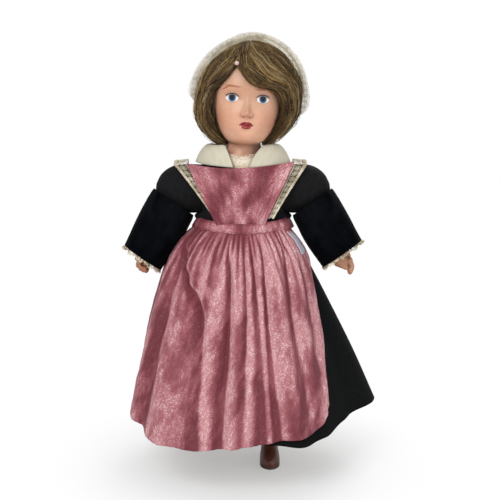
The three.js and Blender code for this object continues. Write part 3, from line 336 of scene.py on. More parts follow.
spot_group, ins, outs = new_group(
    "painted_spot", [("Place", "Vector", (0, 0, 0)), ("Centre", "Vector", (0, 0, 0)), ("Radii", "Vector", (1, 1, 1)),
                     ("Turn", "Float", 0.0), ("Soft", "Float", 0.2)], [("Mask", "Float")])
tree = spot_group
turned = node(tree, "ShaderNodeVectorRotate", {"Vector": ins["Place"], "Center": ins["Centre"], "Angle": ins["Turn"]},
              rotation_type="Z_AXIS").outputs[0]
away = node(tree, "ShaderNodeVectorMath", {0: turned, 1: ins["Centre"]}, operation="SUBTRACT").outputs[0]
shares = node(tree, "ShaderNodeVectorMath", {0: away, 1: ins["Radii"]}, operation="DIVIDE").outputs[0]
reach = node(tree, "ShaderNodeVectorMath", {0: shares}, operation="LENGTH").outputs["Value"]
outer = math_node(tree, "ADD", 1.0, ins["Soft"])
inner = math_node(tree, "SUBTRACT", 1.0, ins["Soft"])
link_in(tree, outs["Mask"], spread(tree, reach, outer, inner))

mottle_group, ins, outs = new_group(
    "mottling", [("Place", "Vector", (0, 0, 0)), ("Scale", "Float", 60.0)], [("Broad", "Float"), ("Fine", "Float")])
tree = mottle_group
link_in(tree, outs["Broad"], spread(tree, node(
    tree, "ShaderNodeTexNoise", {"Vector": ins["Place"], "Scale": ins["Scale"], "Detail": 3.0}).outputs[0], 0.35, 0.65))
link_in(tree, outs["Fine"], node(
    tree, "ShaderNodeTexNoise", {"Vector": ins["Place"], "Scale": math_node(tree, "MULTIPLY", ins["Scale"], 14.0),
                                 "Detail": 5.0}).outputs[0])
print("groups:", ", ".join(group.name for group in bpy.data.node_groups))

# %% [markdown]
# ## Cloth finishes
# Crushed velvet is dark where the pile stands up and pale where it lies flat, in random patches from
# the pile group. On the apron each point also carries painted light and shade: paler on the fold
# ridges and on slopes that face one side, darker in the valleys; the band is painted paler along its
# puffed middle, and painted glints, a painted highlight, sit on the paler parts. Black velvet hardly
# reflects at all, and the bells get painted shade in their folds. The dress is a thin black twill, and
# the linen, net and lace are creamy with age.

# %% Velvet, twill, linen and lace


def cloth_place(tree):
    return node(tree, "ShaderNodeUVMap", uv_map="cloth").outputs[0]


def crushed_velvet(name):
    material, tree, shader, _ = new_finish(name)
    place = cloth_place(tree)
    pile = use_group(tree, pile_group, {"Place": place, "Patch": 42.0, "Stretch": 0.5, "Grain": 1700.0})
    lay_and_light = node(tree, "ShaderNodeAttribute", attribute_name="lay_and_light").outputs["Fac"]
    # Mixes random pile patches with each point's value: painted light and shade on apron and band, random on the bib.
    stand = math_node(tree, "ADD", math_node(tree, "MULTIPLY", pile["Lay"], 0.36),
                      math_node(tree, "MULTIPLY", lay_and_light, 0.64))
    # Dark in the valleys, pale on the ridges: painted shade and painted light.
    tone = blend_colour(tree, spread(tree, stand, 0.12, 0.54), colour(104, 36, 47), colour(152, 79, 89))
    tone = blend_colour(tree, spread(tree, stand, 0.42, 0.88), tone, colour(188, 124, 130))
    # Painted glints, a painted highlight, mostly on the paler parts.
    lit = math_node(tree, "MULTIPLY", pile["Painted Glints"], spread(tree, stand, 0.26, 0.82, 0.08, 1.0))
    tone = blend_colour(tree, lit, tone, colour(236, 206, 206))
    link_in(tree, shader.inputs["Base Color"], tone)
    shader.inputs["Roughness"].default_value = 0.6
    shader.inputs["Specular IOR Level"].default_value = 0.28
    shader.inputs["Sheen Weight"].default_value = 0.1
    shader.inputs["Sheen Roughness"].default_value = 0.35
    shader.inputs["Sheen Tint"].default_value = colour(235, 170, 188)
    raise_surface(tree, shader, pile["Height"], 0.4, 0.7)
    return material


def black_velvet(name):
    material, tree, shader, _ = new_finish(name)
    pile = use_group(tree, pile_group, {"Place": cloth_place(tree), "Patch": 60.0, "Stretch": 0.6})
    lay_and_light = node(tree, "ShaderNodeAttribute", attribute_name="lay_and_light").outputs["Fac"]
    # Random pile patches times each point's value: on the bells, painted shade in the folds.
    lay_and_fold_shade = math_node(tree, "MULTIPLY", pile["Lay"], lay_and_light)
    tone = blend_colour(tree, lay_and_fold_shade, colour(2, 3, 5), colour(13, 15, 19))
    link_in(tree, shader.inputs["Base Color"], tone)
    shader.inputs["Roughness"].default_value = 0.85
    shader.inputs["Sheen Weight"].default_value = 0.015
    shader.inputs["Sheen Roughness"].default_value = 0.4
    shader.inputs["Specular IOR Level"].default_value = 0.02
    raise_surface(tree, shader, pile["Height"], 0.5, 0.8)
    return material


def woven(name, dark, light, thread, roughness, slub=0.5, depth=0.12, sheen=0.0, specular=0.4):
    material, tree, shader, _ = new_finish(name)
    weave = use_group(tree, weave_group, {"Place": cloth_place(tree), "Thread": thread})
    value = math_node(tree, "ADD", math_node(tree, "MULTIPLY", weave["Height"], 1 - slub),
                      math_node(tree, "MULTIPLY", weave["Slub"], slub))
    link_in(tree, shader.inputs["Base Color"], blend_colour(tree, value, dark, light))
    shader.inputs["Roughness"].default_value = roughness
    shader.inputs["Sheen Weight"].default_value = sheen
    shader.inputs["Specular IOR Level"].default_value = specular
    raise_surface(tree, shader, weave["Height"], depth)
    return material


pink_pile = crushed_velvet("rose_crushed_velvet")
black_pile = black_velvet("black_velvet")
black_twill = woven("black_twill", colour(6, 7, 8), colour(30, 31, 32), 0.55, 0.85,
                    slub=0.6, depth=0.2, specular=0.04)
sleeve_cloth = woven("thin_black_cloth", colour(8, 9, 10), colour(40, 40, 42), 0.4, 0.8,
                     slub=0.7, depth=0.15, specular=0.05)
collar_linen = woven("collar_linen", colour(184, 178, 156), colour(220, 214, 195), 0.45, 0.85,
                     slub=0.7, depth=0.08, sheen=0.05)
under_linen = woven("petticoat_cotton", colour(196, 190, 170), colour(228, 224, 208), 0.5, 0.9, slub=0.6)
pale_ribbon = woven("pale_ribbon", colour(168, 168, 180), colour(222, 222, 232), 0.25, 0.35, slub=0.4, depth=0.05)
print("cloth finishes:", len(bpy.data.materials))

# %% [markdown]
# ## Composition, leather, hair and metal
# Composition is a pressed paste under flesh paint and a clear varnish: slightly mottled, slightly
# glossy, with fine crazing. Hair comes in five mottled tints, so that neighbouring strands differ.
# Only outer strands take the pale tints, which are paler fibres and painted highlights, so deeper
# strands are darker, a painted shade; the near-black shell under the hair is painted shade too.

# %% Hard finishes and hair


def varnished_paint(name, base, deeper, roughness=0.42, coat=0.35):
    material, tree, shader, places = new_finish(name)
    mottle = use_group(tree, mottle_group, {"Place": places, "Scale": 70.0})
    link_in(tree, shader.inputs["Base Color"], blend_colour(tree, mottle["Broad"], base, deeper))
    dullness = spread(tree, mottle["Fine"], 0.2, 0.8, roughness - 0.07, roughness + 0.07)
    link_in(tree, shader.inputs["Roughness"], dullness)
    shader.inputs["Coat Weight"].default_value = coat
    shader.inputs["Coat Roughness"].default_value = 0.22
    raise_surface(tree, shader, mottle["Fine"], 0.06)
    return material


def hair_finish(name, dark, light):
    material, tree, shader, places = new_finish(name)
    mottle = use_group(tree, mottle_group, {"Place": places, "Scale": 90.0})
    value = math_node(tree, "ADD", math_node(tree, "MULTIPLY", mottle["Broad"], 0.6),
                      math_node(tree, "MULTIPLY", mottle["Fine"], 0.4))
    link_in(tree, shader.inputs["Base Color"], blend_colour(tree, value, dark, light))
    shader.inputs["Roughness"].default_value = 0.55
    shader.inputs["Specular IOR Level"].default_value = 0.25
    raise_surface(tree, shader, mottle["Fine"], 0.1)
    return material


def bare_finish(name, base, deeper, roughness, metallic=0.0, depth=0.1):
    material, tree, shader, places = new_finish(name)
    mottle = use_group(tree, mottle_group, {"Place": places, "Scale": 120.0})
    link_in(tree, shader.inputs["Base Color"], blend_colour(tree, mottle["Broad"], base, deeper))
    dullness = spread(tree, mottle["Fine"], 0.2, 0.8, roughness - 0.08, roughness + 0.08)
    link_in(tree, shader.inputs["Roughness"], dullness)
    shader.inputs["Metallic"].default_value = metallic
    raise_surface(tree, shader, mottle["Fine"], depth)
    return material


limb_paint = varnished_paint("limb_paint", colour(184, 132, 100), colour(156, 100, 70))
leg_paint = varnished_paint("leg_paint", colour(204, 154, 126), colour(188, 134, 104))
shoe_paint = varnished_paint("shoe_brown", colour(104, 44, 28), colour(72, 29, 18), roughness=0.5, coat=0.1)
sole_leather = bare_finish("sole_leather", colour(92, 66, 46), colour(66, 46, 32), 0.7)
bare_paste = bare_finish("bare_composition", colour(196, 166, 134), colour(170, 138, 108), 0.85, depth=0.25)
steel_wire = bare_finish("steel_wire", colour(150, 150, 150), colour(112, 110, 106), 0.35, metallic=1.0, depth=0.02)
elastic_cover = bare_finish("elastic_cover", colour(52, 49, 46), colour(32, 30, 29), 0.85)
turned_wood = bare_finish("turned_wood", colour(182, 146, 100), colour(150, 114, 74), 0.65)
pearl_glaze = bare_finish("pearl_bead", colour(226, 208, 198), colour(180, 146, 136), 0.15, depth=0.01)
lace_thread = bare_finish("lace_thread", colour(222, 212, 190), colour(178, 166, 140), 0.85, depth=0.05)
net_thread = bare_finish("net_thread", colour(226, 219, 198), colour(188, 179, 154), 0.9, depth=0.05)
lace_backing = bare_finish("lace_backing", colour(216, 168, 138), colour(190, 142, 112), 0.9, depth=0.05)
# The neck lace is the same lace painted paler to make up for the shade under the chin: painted light.
neck_thread_painted_light = bare_finish("neck_lace_thread_painted_light", colour(252, 244, 226), colour(232, 218, 192), 0.9, depth=0.05)
hair_tints = {"dark": hair_finish("mohair_dark", colour(26, 19, 11), colour(50, 38, 22)),
              "brown": hair_finish("mohair_brown", colour(54, 38, 21), colour(84, 63, 36)),
              "mid": hair_finish("mohair_mid", colour(80, 59, 34), colour(112, 88, 53)),
              "gold": hair_finish("mohair_gold", colour(120, 89, 48), colour(156, 126, 76)),
              "light": hair_finish("mohair_light", colour(140, 120, 80), colour(180, 160, 118))}
# Near black: the inner hair painted as if in its own shade, a painted shade under the strands.
hair_under_shaded = hair_finish("mohair_under_shaded", colour(16, 11, 7), colour(36, 26, 15))
print("finishes:", len(bpy.data.materials))

# %% [markdown]
# ## The camera
# The photograph was taken a little above the doll's face with a short telephoto lens, about three
# quarters of a metre away. The distance shows in how much wider the front hem looks than the back.

# %% Camera
CAMERA_AWAY = 760.0
CAMERA_HEIGHT = 293.0
CAMERA_SIDE = 5.53
LOOKS_DOWN = 9 * DEGREE
camera_data = bpy.data.cameras.new("camera")
camera_data.sensor_width = 36.0
camera_data.lens = 69.3
camera = bpy.data.objects.new("camera", camera_data)
bpy.context.collection.objects.link(camera)
camera.location = spot(CAMERA_SIDE, -CAMERA_AWAY, CAMERA_HEIGHT)
camera.rotation_euler = (math.pi / 2 - LOOKS_DOWN, 0, 0)
bpy.context.scene.camera = camera
print("camera at", [round(value, 3) for value in camera.location])

# %% [markdown]
# ## The skirt's surface
# A gathered skirt grows from the waist's oval to a wide hem and falls in folds. One function gives
# that surface for any direction and any share of the way down, so that skirt, apron, waistband,
# tie and ribbon all lie on each other without touching.

# %% Skirt surface
WAIST_WIDE, WAIST_DEEP, WAIST_HIGH, WAIST_DIP = 32.4, 26.4, 194.0, 3.5
CLOTH_POWER = 2.6
HEM_REACH, HEM_REAR, HEM_FRONT, FOLD_DEPTH = 100.0, 50.0, 42.0, 5.0
CLOTH, VELVET, SEAT = 1.2, 1.6, 0.3
APRON_CLEAR = 0.6
hem_shares = [(-180, 0.88), (-135, 0.9), (-105, 0.87), (-90, 0.85), (-75, 0.87), (-60, 0.93), (-42, 0.965),
              (-20, 0.94), (0, 0.91), (28, 0.985), (60, 0.89), (90, 1.07), (108, 0.98), (140, 0.91), (180, 0.88)]
skirt_hem_shares = [(-180, 1), (-90, 1), (-30, 0.96), (0, 0.92), (28, 0.8), (60, 0.91), (90, 1.01), (180, 1)]
apron_hem_shares = [(-100, 1.19), (-60, 1.12), (-37, 0.952), (-14, 0.943), (8, 1.05), (32, 1.14), (44, 1.24)]
fold_shares = [(-78, 0.5, 9), (-54, 0.8, 9), (-30, 0.7, 9), (-12, 1, 9), (6, 0.35, 7), (18, 0.95, 9), (36, 0.6, 9),
               (72, 0.7, 12), (102, 0.7, 12), (132, 0.8, 12), (156, 0.7, 12), (-180, 0.8, 12), (-150, 0.7, 12),
               (-120, 0.8, 12)]


def turn_of(angle):
    return (angle / DEGREE + 540) % 360 - 180


def skirt_hem_at(angle):
    return HEM_REAR * follow(skirt_hem_shares, turn_of(angle))


def fold_at(angle, down):
    depth = 0.0
    for middle, share, half in fold_shares:
        away = abs((angle / DEGREE - middle + 540) % 360 - 180) / half
        if away < 1:
            depth += share * (0.5 + 0.5 * math.cos(math.pi * away))
    return FOLD_DEPTH * depth * min(down * 2.2, 1) * ease(min(down * 3, 1))


def skirt_place(angle, down, proud, hem):
    """x, y and z in millimetres on the skirt."""
    waist_x, waist_y = oval(angle, WAIST_WIDE, WAIST_DEEP, WAIST_DEEP, CLOTH_POWER)
    reach = HEM_REACH * follow(hem_shares, turn_of(angle))
    swell = max(down, 0) ** mix(0.9, 0.74, 0.5 + 0.5 * math.cos(angle + 30 * DEGREE))
    radius = mix(math.hypot(waist_x, waist_y), reach, swell) - fold_at(angle, down) + proud
    start = WAIST_HIGH - WAIST_DIP * max(math.cos(angle), 0) ** 2
    return radius * math.sin(angle), -radius * math.cos(angle), mix(start, hem, down)


def pleats(start, stop, count, seed):
    """Uneven gathers: middle, depth, how far down they reach and how they drift, all drawn once."""
    dice = random.Random(seed)
    step = (stop - start) / count
    return [(start + (k + dice.uniform(0.25, 0.75)) * step, dice.uniform(0.5, 1.0), dice.uniform(0.16, 0.62),
             dice.uniform(-5, 5)) for k in range(count)]


def gather_at(rows, turn, down, width):
    """How far the gathers stand out, as a share of the deepest one."""
    total = 0.0
    for middle, depth, length, drift in rows:
        if down < length:
            total += depth * bump(turn, middle + drift * down, width * (1 + 2.4 * down)) * (1 - ease(down / length))
    return total


print("hem in front:", [round(value, 1) for value in skirt_place(0, 1, 0, HEM_FRONT)])

# %% [markdown]
# ## The black dress
# The skirt is a wide gathered tube of thin black twill. The bodice is a plain tube over the torso
# with an armhole about each shoulder, so that a sleeve can turn in it.

# %% Skirt and petticoat
FULL_SIDE = 7.8
skirt_pleats = pleats(-180, 180, 46, 3)


def skirt_detail(angle, down):
    turn = turn_of(angle)
    x, z = math.sin(angle) * 60, down * 150
    waves = 0.7 * rough(x * 1.6, math.cos(angle) * 90, z * 0.4, 22, 1.3) * min(down * 3, 1)
    return 0.9 * gather_at(skirt_pleats, turn, down, 1.7) * ease(down * 12) + waves


def fullness(angle, down):
    """The skirt bells out above the knee on the doll's right side."""
    return FULL_SIDE * bump(turn_of(angle), -84, 44) * math.sin(math.pi * clamp(down) ** 0.6)


def skirt_cloth(u, v):
    angle, down = 2 * math.pi * u, 1 - v
    hem = skirt_hem_at(angle)
    stand = CLOTH / 2 - 0.4 + min(max(skirt_detail(angle, down), -0.3), 0.5) + fullness(angle, down)
    return spot(*skirt_place(angle, down, stand, hem))


form = grid_form(260, 90, skirt_cloth, size=(0.57, 0.165), wrap=True)
skirt = settle("dress_skirt", form, "doll_body", black_twill, ["skirt"], thickness=0.7)


PETTICOAT_WAIST, PETTICOAT_HEM, PETTICOAT_HIGH, PETTICOAT_LOW = 31.2, 69, 186.5, 66


def petticoat_cloth(u, v):
    angle, down = 2 * math.pi * u, 1 - v
    x, y = oval(angle, PETTICOAT_WAIST, PETTICOAT_WAIST * 0.8)
    radius = mix(math.hypot(x, y), PETTICOAT_HEM, down ** 0.9) - 0.4 + 0.25 * math.sin(36 * angle) * down
    return spot(radius * math.sin(angle), -radius * math.cos(angle), mix(PETTICOAT_HIGH, PETTICOAT_LOW, down))


form = grid_form(144, 30, petticoat_cloth, size=(0.42, 0.126), wrap=True)
petticoat = settle("petticoat_cloth", form, "doll_body", under_linen, ["petticoat"], thickness=0.5)
print("skirt points:", len(skirt.data.vertices))

# %% Bodice
BODICE_LOW, BODICE_HIGH, BODICE_WIDE, BODICE_DEEP = 187.0, 246.4, 35.6, 26.4
bodice_shares = [(0, 0.86, 0.92), (0.26, 0.925, 0.98), (0.52, 1, 1), (0.74, 1, 0.91), (0.88, 0.965, 0.8),
                 (0.95, 0.74, 0.725), (1, 0.537, 0.695)]
SHOULDER_OUT, SHOULDER_HIGH, ARMHOLE = 42.0, 222.0, 19.4
# Under each arm the bodice blouses a little over the waistband.
BLOUSE, BLOUSE_HIGH, BLOUSE_TALL = 6.8, 200.2, 3.4


def bodice_cloth(u, v):
    angle = 2 * math.pi * u
    deep = BODICE_DEEP * follow(bodice_shares, v, 2) - 0.6
    x, y = oval(angle, BODICE_WIDE * follow(bodice_shares, v) - 0.6, deep, deep, CLOTH_POWER)
    z = mix(BODICE_LOW, BODICE_HIGH, v)
    x *= 1 + BLOUSE / BODICE_WIDE * bump(z, BLOUSE_HIGH, BLOUSE_TALL) * math.sin(angle) ** 6
    return spot(x, y, z)


form = grid_form(120, 72, bodice_cloth, size=(0.2, 0.06), wrap=True)


def into_armhole(vert):
    """How far a point lies inside an armhole, in millimetres."""
    y, z = (vert.co.y - AXIS.y) / MM, vert.co.z / MM - SHOULDER_HIGH
    return ARMHOLE + 0.4 - math.hypot(y, z) if abs(vert.co.x - AXIS.x) > 31 * MM else -1


holes = [face for face in form.faces if all(into_armhole(vert) > 0 for vert in face.verts)]
bmesh.ops.delete(form, geom=holes, context="FACES")
for vert in form.verts:
    inside = into_armhole(vert)
    if inside > 0:
        y, z = vert.co.y - AXIS.y, vert.co.z - SHOULDER_HIGH * MM
        grow = (ARMHOLE + 0.4) * MM / math.hypot(y, z)
        vert.co.y, vert.co.z = AXIS.y + y * grow, SHOULDER_HIGH * MM + z * grow
bodice = settle("dress_bodice", form, "doll_body", sleeve_cloth, ["bodice"], thickness=0.9)
print("bodice faces:", len(bodice.data.polygons))

# %% [markdown]
# ## The velvet apron
# The apron is one width of crushed velvet gathered into a band. Dozens of small gathers leave the
# band, die out at different heights and run together into a few broad folds. Each point also keeps
# a value of painted light and shade, high on the ridges and on slopes that face one side and low in
# the valleys, which the finish turns into paler and darker pile and painted glints.

# %% Apron
APRON_LEFT, APRON_RIGHT, APRON_CORNER = -96 * DEGREE, 46 * DEGREE, 13.0
apron_edge_shares = [(0, 82), (0.1, 79), (0.42, 67), (0.8, 53), (0.93, 49), (1, 46)]
apron_pleats = pleats(-95, 78, 30, 11)
# Each valley: rows of (share of the way down, degrees), its depth in millimetres and its width in degrees.
apron_valleys = [
    ([(0, -90), (0.4, -84), (1, -86)], 1.6, 5), ([(0, -72), (0.22, -44), (0.4, -27), (1, -20)], 3.4, 3.6),
    ([(0, -50), (0.4, -56), (1, -50)], 1.9, 6), ([(0, -16), (0.3, -9), (1, -10)], 3.2, 2.8),
    ([(0, 1), (0.3, 3), (1, 0)], 1.7, 2.6), ([(0, 10), (0.5, 11), (1, 10)], 2.8, 2.8),
    ([(0, 22), (0.4, 18), (1, 17)], 3.0, 2.8), ([(0, 47), (0.4, 36), (1, 31)], 2.2, 4),
    ([(0, 66), (0.5, 52), (1, 40)], 1.5, 5)]


def apron_angle(u, down):
    """The apron's right edge leaves the waist far round the side and runs down nearly straight."""
    return mix(APRON_LEFT, DEGREE * follow(apron_edge_shares, down), u)


def apron_hem_at(angle):
    low = HEM_FRONT * follow(apron_hem_shares, angle / DEGREE)
    edge = min(angle - APRON_LEFT, APRON_RIGHT - angle) * HEM_REACH
    rounded = max(1 - edge / APRON_CORNER, 0)
    return low + APRON_CORNER * (1 - math.sqrt(max(1 - rounded * rounded, 0)))


def apron_detail(angle, down):
    """Millimetres that the velvet stands out of its plain surface."""
    turn = angle / DEGREE
    small = 2.9 * gather_at(apron_pleats, turn, down, 1.35) * ease(0.25 + down * 9)
    valleys = sum(depth * bump(turn, follow(path, down), wide * (0.6 + 0.4 * down))
                  for path, depth, wide in apron_valleys)
    x, z = turn * 1.4, down * 150
    crushed = 0.9 * rough(x, 0, z * 0.55, 17, 0.7) + 0.5 * rough(x, 3, z * 0.8, 7, 2.1)
    full = mix(2.4, 1.4, down)
    return small + fullness(angle, down) + (full - min(1.35 * valleys, 5.2) + crushed) * ease(down * 6)


def apron_spot(u, share, proud=0.0):
    angle, start = apron_angle(u, share), 6.4 * 0.2 / (WAIST_HIGH - HEM_FRONT)
    skirt_low = skirt_hem_at(angle)
    top = skirt_place(angle, start, 0, skirt_low)[2]
    down = start + share * (1 - start) * (top - apron_hem_at(apron_angle(u, 1))) / (top - skirt_low)
    from_hem = (1 - share) * 150
    hem_turn = 0.5 * bump(from_hem, 6.5, 1.0) - 0.45 * math.sin(turn_of(angle) * 2.3) * bump(from_hem, 5, 5)
    stand = CLOTH + APRON_CLEAR + VELVET / 2 + max(apron_detail(angle, share) - hem_turn, -0.5) + proud
    return skirt_place(angle, down, stand, skirt_low)


def apron_painted_light(u, share):
    """Painted light and shade on the pile: high on ridges and on slopes facing one side, low in the valleys."""
    angle = apron_angle(u, share)
    ahead, behind = apron_detail(angle - 1.2 * DEGREE, share), apron_detail(angle + 1.2 * DEGREE, share)
    high = apron_detail(angle, share) - fullness(angle, share)
    return clamp(0.36 + 0.12 * high - 0.05 * fold_at(angle, share) + 0.3 * (behind - ahead))


form = grid_form(230, 170, lambda u, v: spot(*apron_spot(u, 1 - v)), size=(0.3, 0.165),
                 shade=lambda u, v: apron_painted_light(u, 1 - v))
apron = settle("apron_velvet", form, "doll_body", pink_pile, ["apron_skirt"], thickness=1.1)
print("apron points:", len(apron.data.vertices))

# %% Waistband and bib
CHEST_DEEP, CHEST_WIDE, CHEST_CURVE = 28.4, 40.0, 0.21
BIB_TOP, BIB_CORNER, BIB_LOW, BIB_WIDE, BIB_NARROW, BIB_DRIFT = 237.4, 241.6, 198.4, 40.5, 19.5, -2.0
BIB_STAND, BIB_LEAN, BIB_TUCK = 2.2, 0.9, 2.6
BAND_LIFT, BAND_HIGH, BAND_LAP = 0.4, 6.4, 2.4


def waistband_cloth(u, v):
    angle = mix(-98 * DEGREE, 98 * DEGREE, u)
    puff = 0.5 * math.sin(math.pi * v) + 0.4 * rough(angle * 40, v * 3, 0, 3.4, 5.0)
    pucker = 0.35 * math.sin(angle * 30 + 2 * math.sin(angle * 9)) * (1 - 0.5 * v)
    over = 1.1 * (1 - v) ** 1.4 + 4.2 * math.sin(angle) ** 6 * (1 - v) ** 0.9
    x, y, z = skirt_place(angle, 0, CLOTH + SEAT + VELVET / 2 + puff + pucker + over, 0)
    return spot(x, y, z + BAND_LIFT + mix(-BAND_LAP, BAND_HIGH, v))


# The band's pile value is raised along its puffed middle, a painted light, with random patches on top.
form = grid_form(220, 16, waistband_cloth, size=(0.115, 0.0088),
                 shade=lambda u, v: 0.16 + 0.3 * math.sin(math.pi * v) + 0.3 * rough(u * 40, v, 0, 2.0, 3.0))
settle("apron_band", form, "doll_body", pink_pile, ["apron_waistband"], thickness=1.0)


def chest_depth(x, z):
    rise = clamp((z - BODICE_LOW) / (BODICE_HIGH - BODICE_LOW))
    return CHEST_DEEP * follow(bodice_shares, rise, 2) * (1 - CHEST_CURVE * abs(x / CHEST_WIDE) ** 2.5)


def bib_edge(z):
    return mix(BIB_NARROW, BIB_WIDE, (z - BIB_LOW) / (BIB_CORNER - BIB_LOW))


def bib_cloth(u, v):
    across = 2 * u - 1
    z = mix(BIB_LOW - BIB_TUCK, mix(BIB_TOP, BIB_CORNER, abs(across) ** 2.2) + BIB_STAND + BIB_LEAN * across, v)
    x = bib_edge(z) * across + BIB_DRIFT
    edge = max(bump(v, 1, 0.05), bump(abs(across), 1, 0.06))
    tuck = 0.5 * bump(v, 0.08, 0.2) * math.sin(9 * across) - 1.2 * bump(v, 0, 0.06)
    swell = 0.9 * rough(x, 0, z, 14, 4.0) + 0.35 * rough(x, 0, z, 5, 6.0) + 0.5 * edge + tuck
    return spot(x, -chest_depth(x, z) - SEAT - VELVET / 2 - clamp(swell + 0.4, -0.6, 2.4), z)


form = grid_form(110, 70, bib_cloth, size=(0.081, 0.043),
                 shade=lambda u, v: clamp(0.4 + 0.55 * rough(u * 60, 0, v * 40, 13, 4.0)))
bib = settle("apron_bib_velvet", form, "doll_body", pink_pile, ["apron_bib"], thickness=1.1)
print("bib points:", len(bib.data.vertices))

# %% [markdown]
# ## Turning parts
# The head is tilted and turned a little on its neck, the arms swing forward and the right leg
# swings back. Each has its own small frame about its joint, with the same X, Y and Z as the doll.

# %% Places in the head, the arms and the legs
NECK_HIGH = AXIS.z / MM
HEAD_ROLL, HEAD_YAW, ARM_SWING, ARM_SPLAY = 3.5 * DEGREE, 3 * DEGREE, 8 * DEGREE, 35 * DEGREE
HIP_OUT, HIP_HIGH, TOE_REACH = 21.5, 150.0, 30.0
head_turn = Matrix.Rotation(HEAD_ROLL, 3, "Y") @ Matrix.Rotation(HEAD_YAW, 3, "Z")


def head_spot(x, y, z):
    turned = head_turn @ Vector((x, y, z))
    return spot(turned.x, turned.y, turned.z + NECK_HIGH)


def arm_spot(side, x, y, z):
    turned = Matrix.Rotation(-ARM_SWING, 3, "X") @ Vector((x, y, z))
    return spot(side * SHOULDER_OUT + turned.x, turned.y, turned.z + SHOULDER_HIGH)


def leg_spot(side, x, y, z):
    swing = 0.0 if side > 0 else 2 * math.atan(TOE_REACH / HIP_HIGH)
    turned = Matrix.Rotation(swing, 3, "X") @ Vector((x, y, z))
    return spot(side * HIP_OUT + turned.x, turned.y, turned.z + HIP_HIGH)


print("head top:", [round(value, 3) for value in head_spot(0, 0, 84)])

# %% [markdown]
# ## The head
# The head was pressed in a mould: a ball for the neck's cup, a short neck, and rows that swell to
# the jaw, the cheeks and the crown. The face is relief on that skin. Its crown is open, and a pate
# under the wig closes it. Every point also keeps its place on the face, seen from the front, so
# that the paint can be laid on with ellipses.

# %% The face's relief
HEAD_HIGH, HEAD_WIDE, HEAD_DEEP, NECK_BALL = 84.0, 30.0, 33.5, 14.5
FACE_MIDDLE, EYE_SIDE, EYE_HIGH = -0.6, 11.6, 45.0
head_rows = [(k, NECK_BALL * rise, NECK_BALL * rise) + (NECK_BALL * math.sqrt(1 - rise * rise),) * 3
             for k, rise in enumerate((-0.9, -0.6, -0.25, 0.1))]
head_shares = [
    (0.115, 0.165, 0.44, 0.405, 0.405), (0.132, 0.225, 0.5, 0.66, 0.56), (0.158, 0.275, 0.57, 0.87, 0.7),
    (0.225, 0.31, 0.7, 0.95, 0.79), (0.3, 0.35, 0.79, 0.985, 0.86), (0.36, 0.4, 0.85, 0.99, 0.92),
    (0.41, 0.44, 0.895, 1, 0.97), (0.47, 0.49, 0.93, 0.985, 1), (0.54, 0.54, 0.96, 0.97, 1.02),
    (0.66, 0.66, 0.98, 0.985, 1.025), (0.78, 0.78, 0.94, 0.91, 0.98), (0.88, 0.88, 0.78, 0.74, 0.83),
    (0.955, 0.955, 0.49, 0.47, 0.54)]
head_rows += [(k + 4, HEAD_HIGH * low, HEAD_HIGH * high, HEAD_WIDE * wide, HEAD_DEEP * ahead, HEAD_DEEP * behind)
              for k, (low, high, wide, ahead, behind) in enumerate(head_shares)]
# Relief: middle x and z, half width and half height, and how far it stands out, in millimetres.
relief = [
    (0, 34.8, 3.3, 3.6, 3.6), (0, 38.5, 2.3, 5.0, 1.6), (0, 44.5, 2.0, 5.5, 0.7), (0, 33.4, 1.9, 1.9, 1.2),
    (3.6, 33.0, 1.6, 1.6, 1.5), (-3.6, 33.0, 1.6, 1.6, 1.5), (2.1, 31.5, 1.0, 0.8, -0.7), (-2.1, 31.5, 1.0, 0.8, -0.7),
    (0, 29.0, 0.9, 1.6, -0.35), (1.7, 26.9, 1.9, 0.95, 1.0), (-1.7, 26.9, 1.9, 0.95, 1.0), (0, 25.4, 4.6, 0.45, -0.75),
    (0, 24.0, 2.9, 1.25, 1.35), (5.2, 25.3, 1.6, 1.2, -0.35), (-5.2, 25.3, 1.6, 1.2, -0.35), (0, 21.0, 4.2, 1.5, -0.7),
    (0, 15.6, 5.4, 4.0, 1.3), (13.5, 28.5, 8.0, 7.5, 1.1), (-13.5, 28.5, 8.0, 7.5, 1.1), (12, 45, 6.2, 4.6, -2.5),
    (-12, 45, 6.2, 4.6, -2.5), (11.6, 44.9, 4.6, 3.0, 1.9), (-11.6, 44.9, 4.6, 3.0, 1.9), (6.2, 44.6, 1.3, 1.5, -0.5),
    (-6.2, 44.6, 1.3, 1.5, -0.5), (12, 51.6, 7.0, 2.2, 0.55), (-12, 51.6, 7.0, 2.2, 0.55)]


def face_relief(x, z):
    total = 0.0
    for middle_x, middle_z, wide, tall, out in relief:
        total += out * math.exp(-((x - FACE_MIDDLE - middle_x) / wide) ** 2 - ((z - middle_z) / tall) ** 2)
    for side in (-1, 1):
        across = abs(x - FACE_MIDDLE - side * EYE_SIDE)
        lid = 48.4 - 1.9 * (across / 5.4) ** 2
        total += 0.55 * bump(z, lid, 0.55) * clamp(1.4 - across / 4.6)
    return total


def head_place(u, v):
    turn = 2 * math.pi * (u - 0.5)
    angle = turn - 0.52 * math.sin(turn)
    row = v * (len(head_rows) - 1)
    low, high, wide, front, rear = (follow(head_rows, row, k) for k in range(1, 6))
    x, y = oval(angle, wide, front, rear, 2.15 if row > 4 else 2.0)
    z = mix(high, low, 0.5 + 0.5 * math.cos(angle))
    if y < 0 and row > 4:
        y -= face_relief(x, z) * ease(-y / 12)
    return x, y, z


form = grid_form(228, 214, lambda u, v: Vector(head_place(u, v)), wrap=True)
face_place = form.verts.layers.float_vector.new("face")
for vert in form.verts:
    x, y, z = vert.co
    vert[face_place] = (x - FACE_MIDDLE, z, y)
    vert.co = head_spot(x, y, z)
print("head points:", len(form.verts))

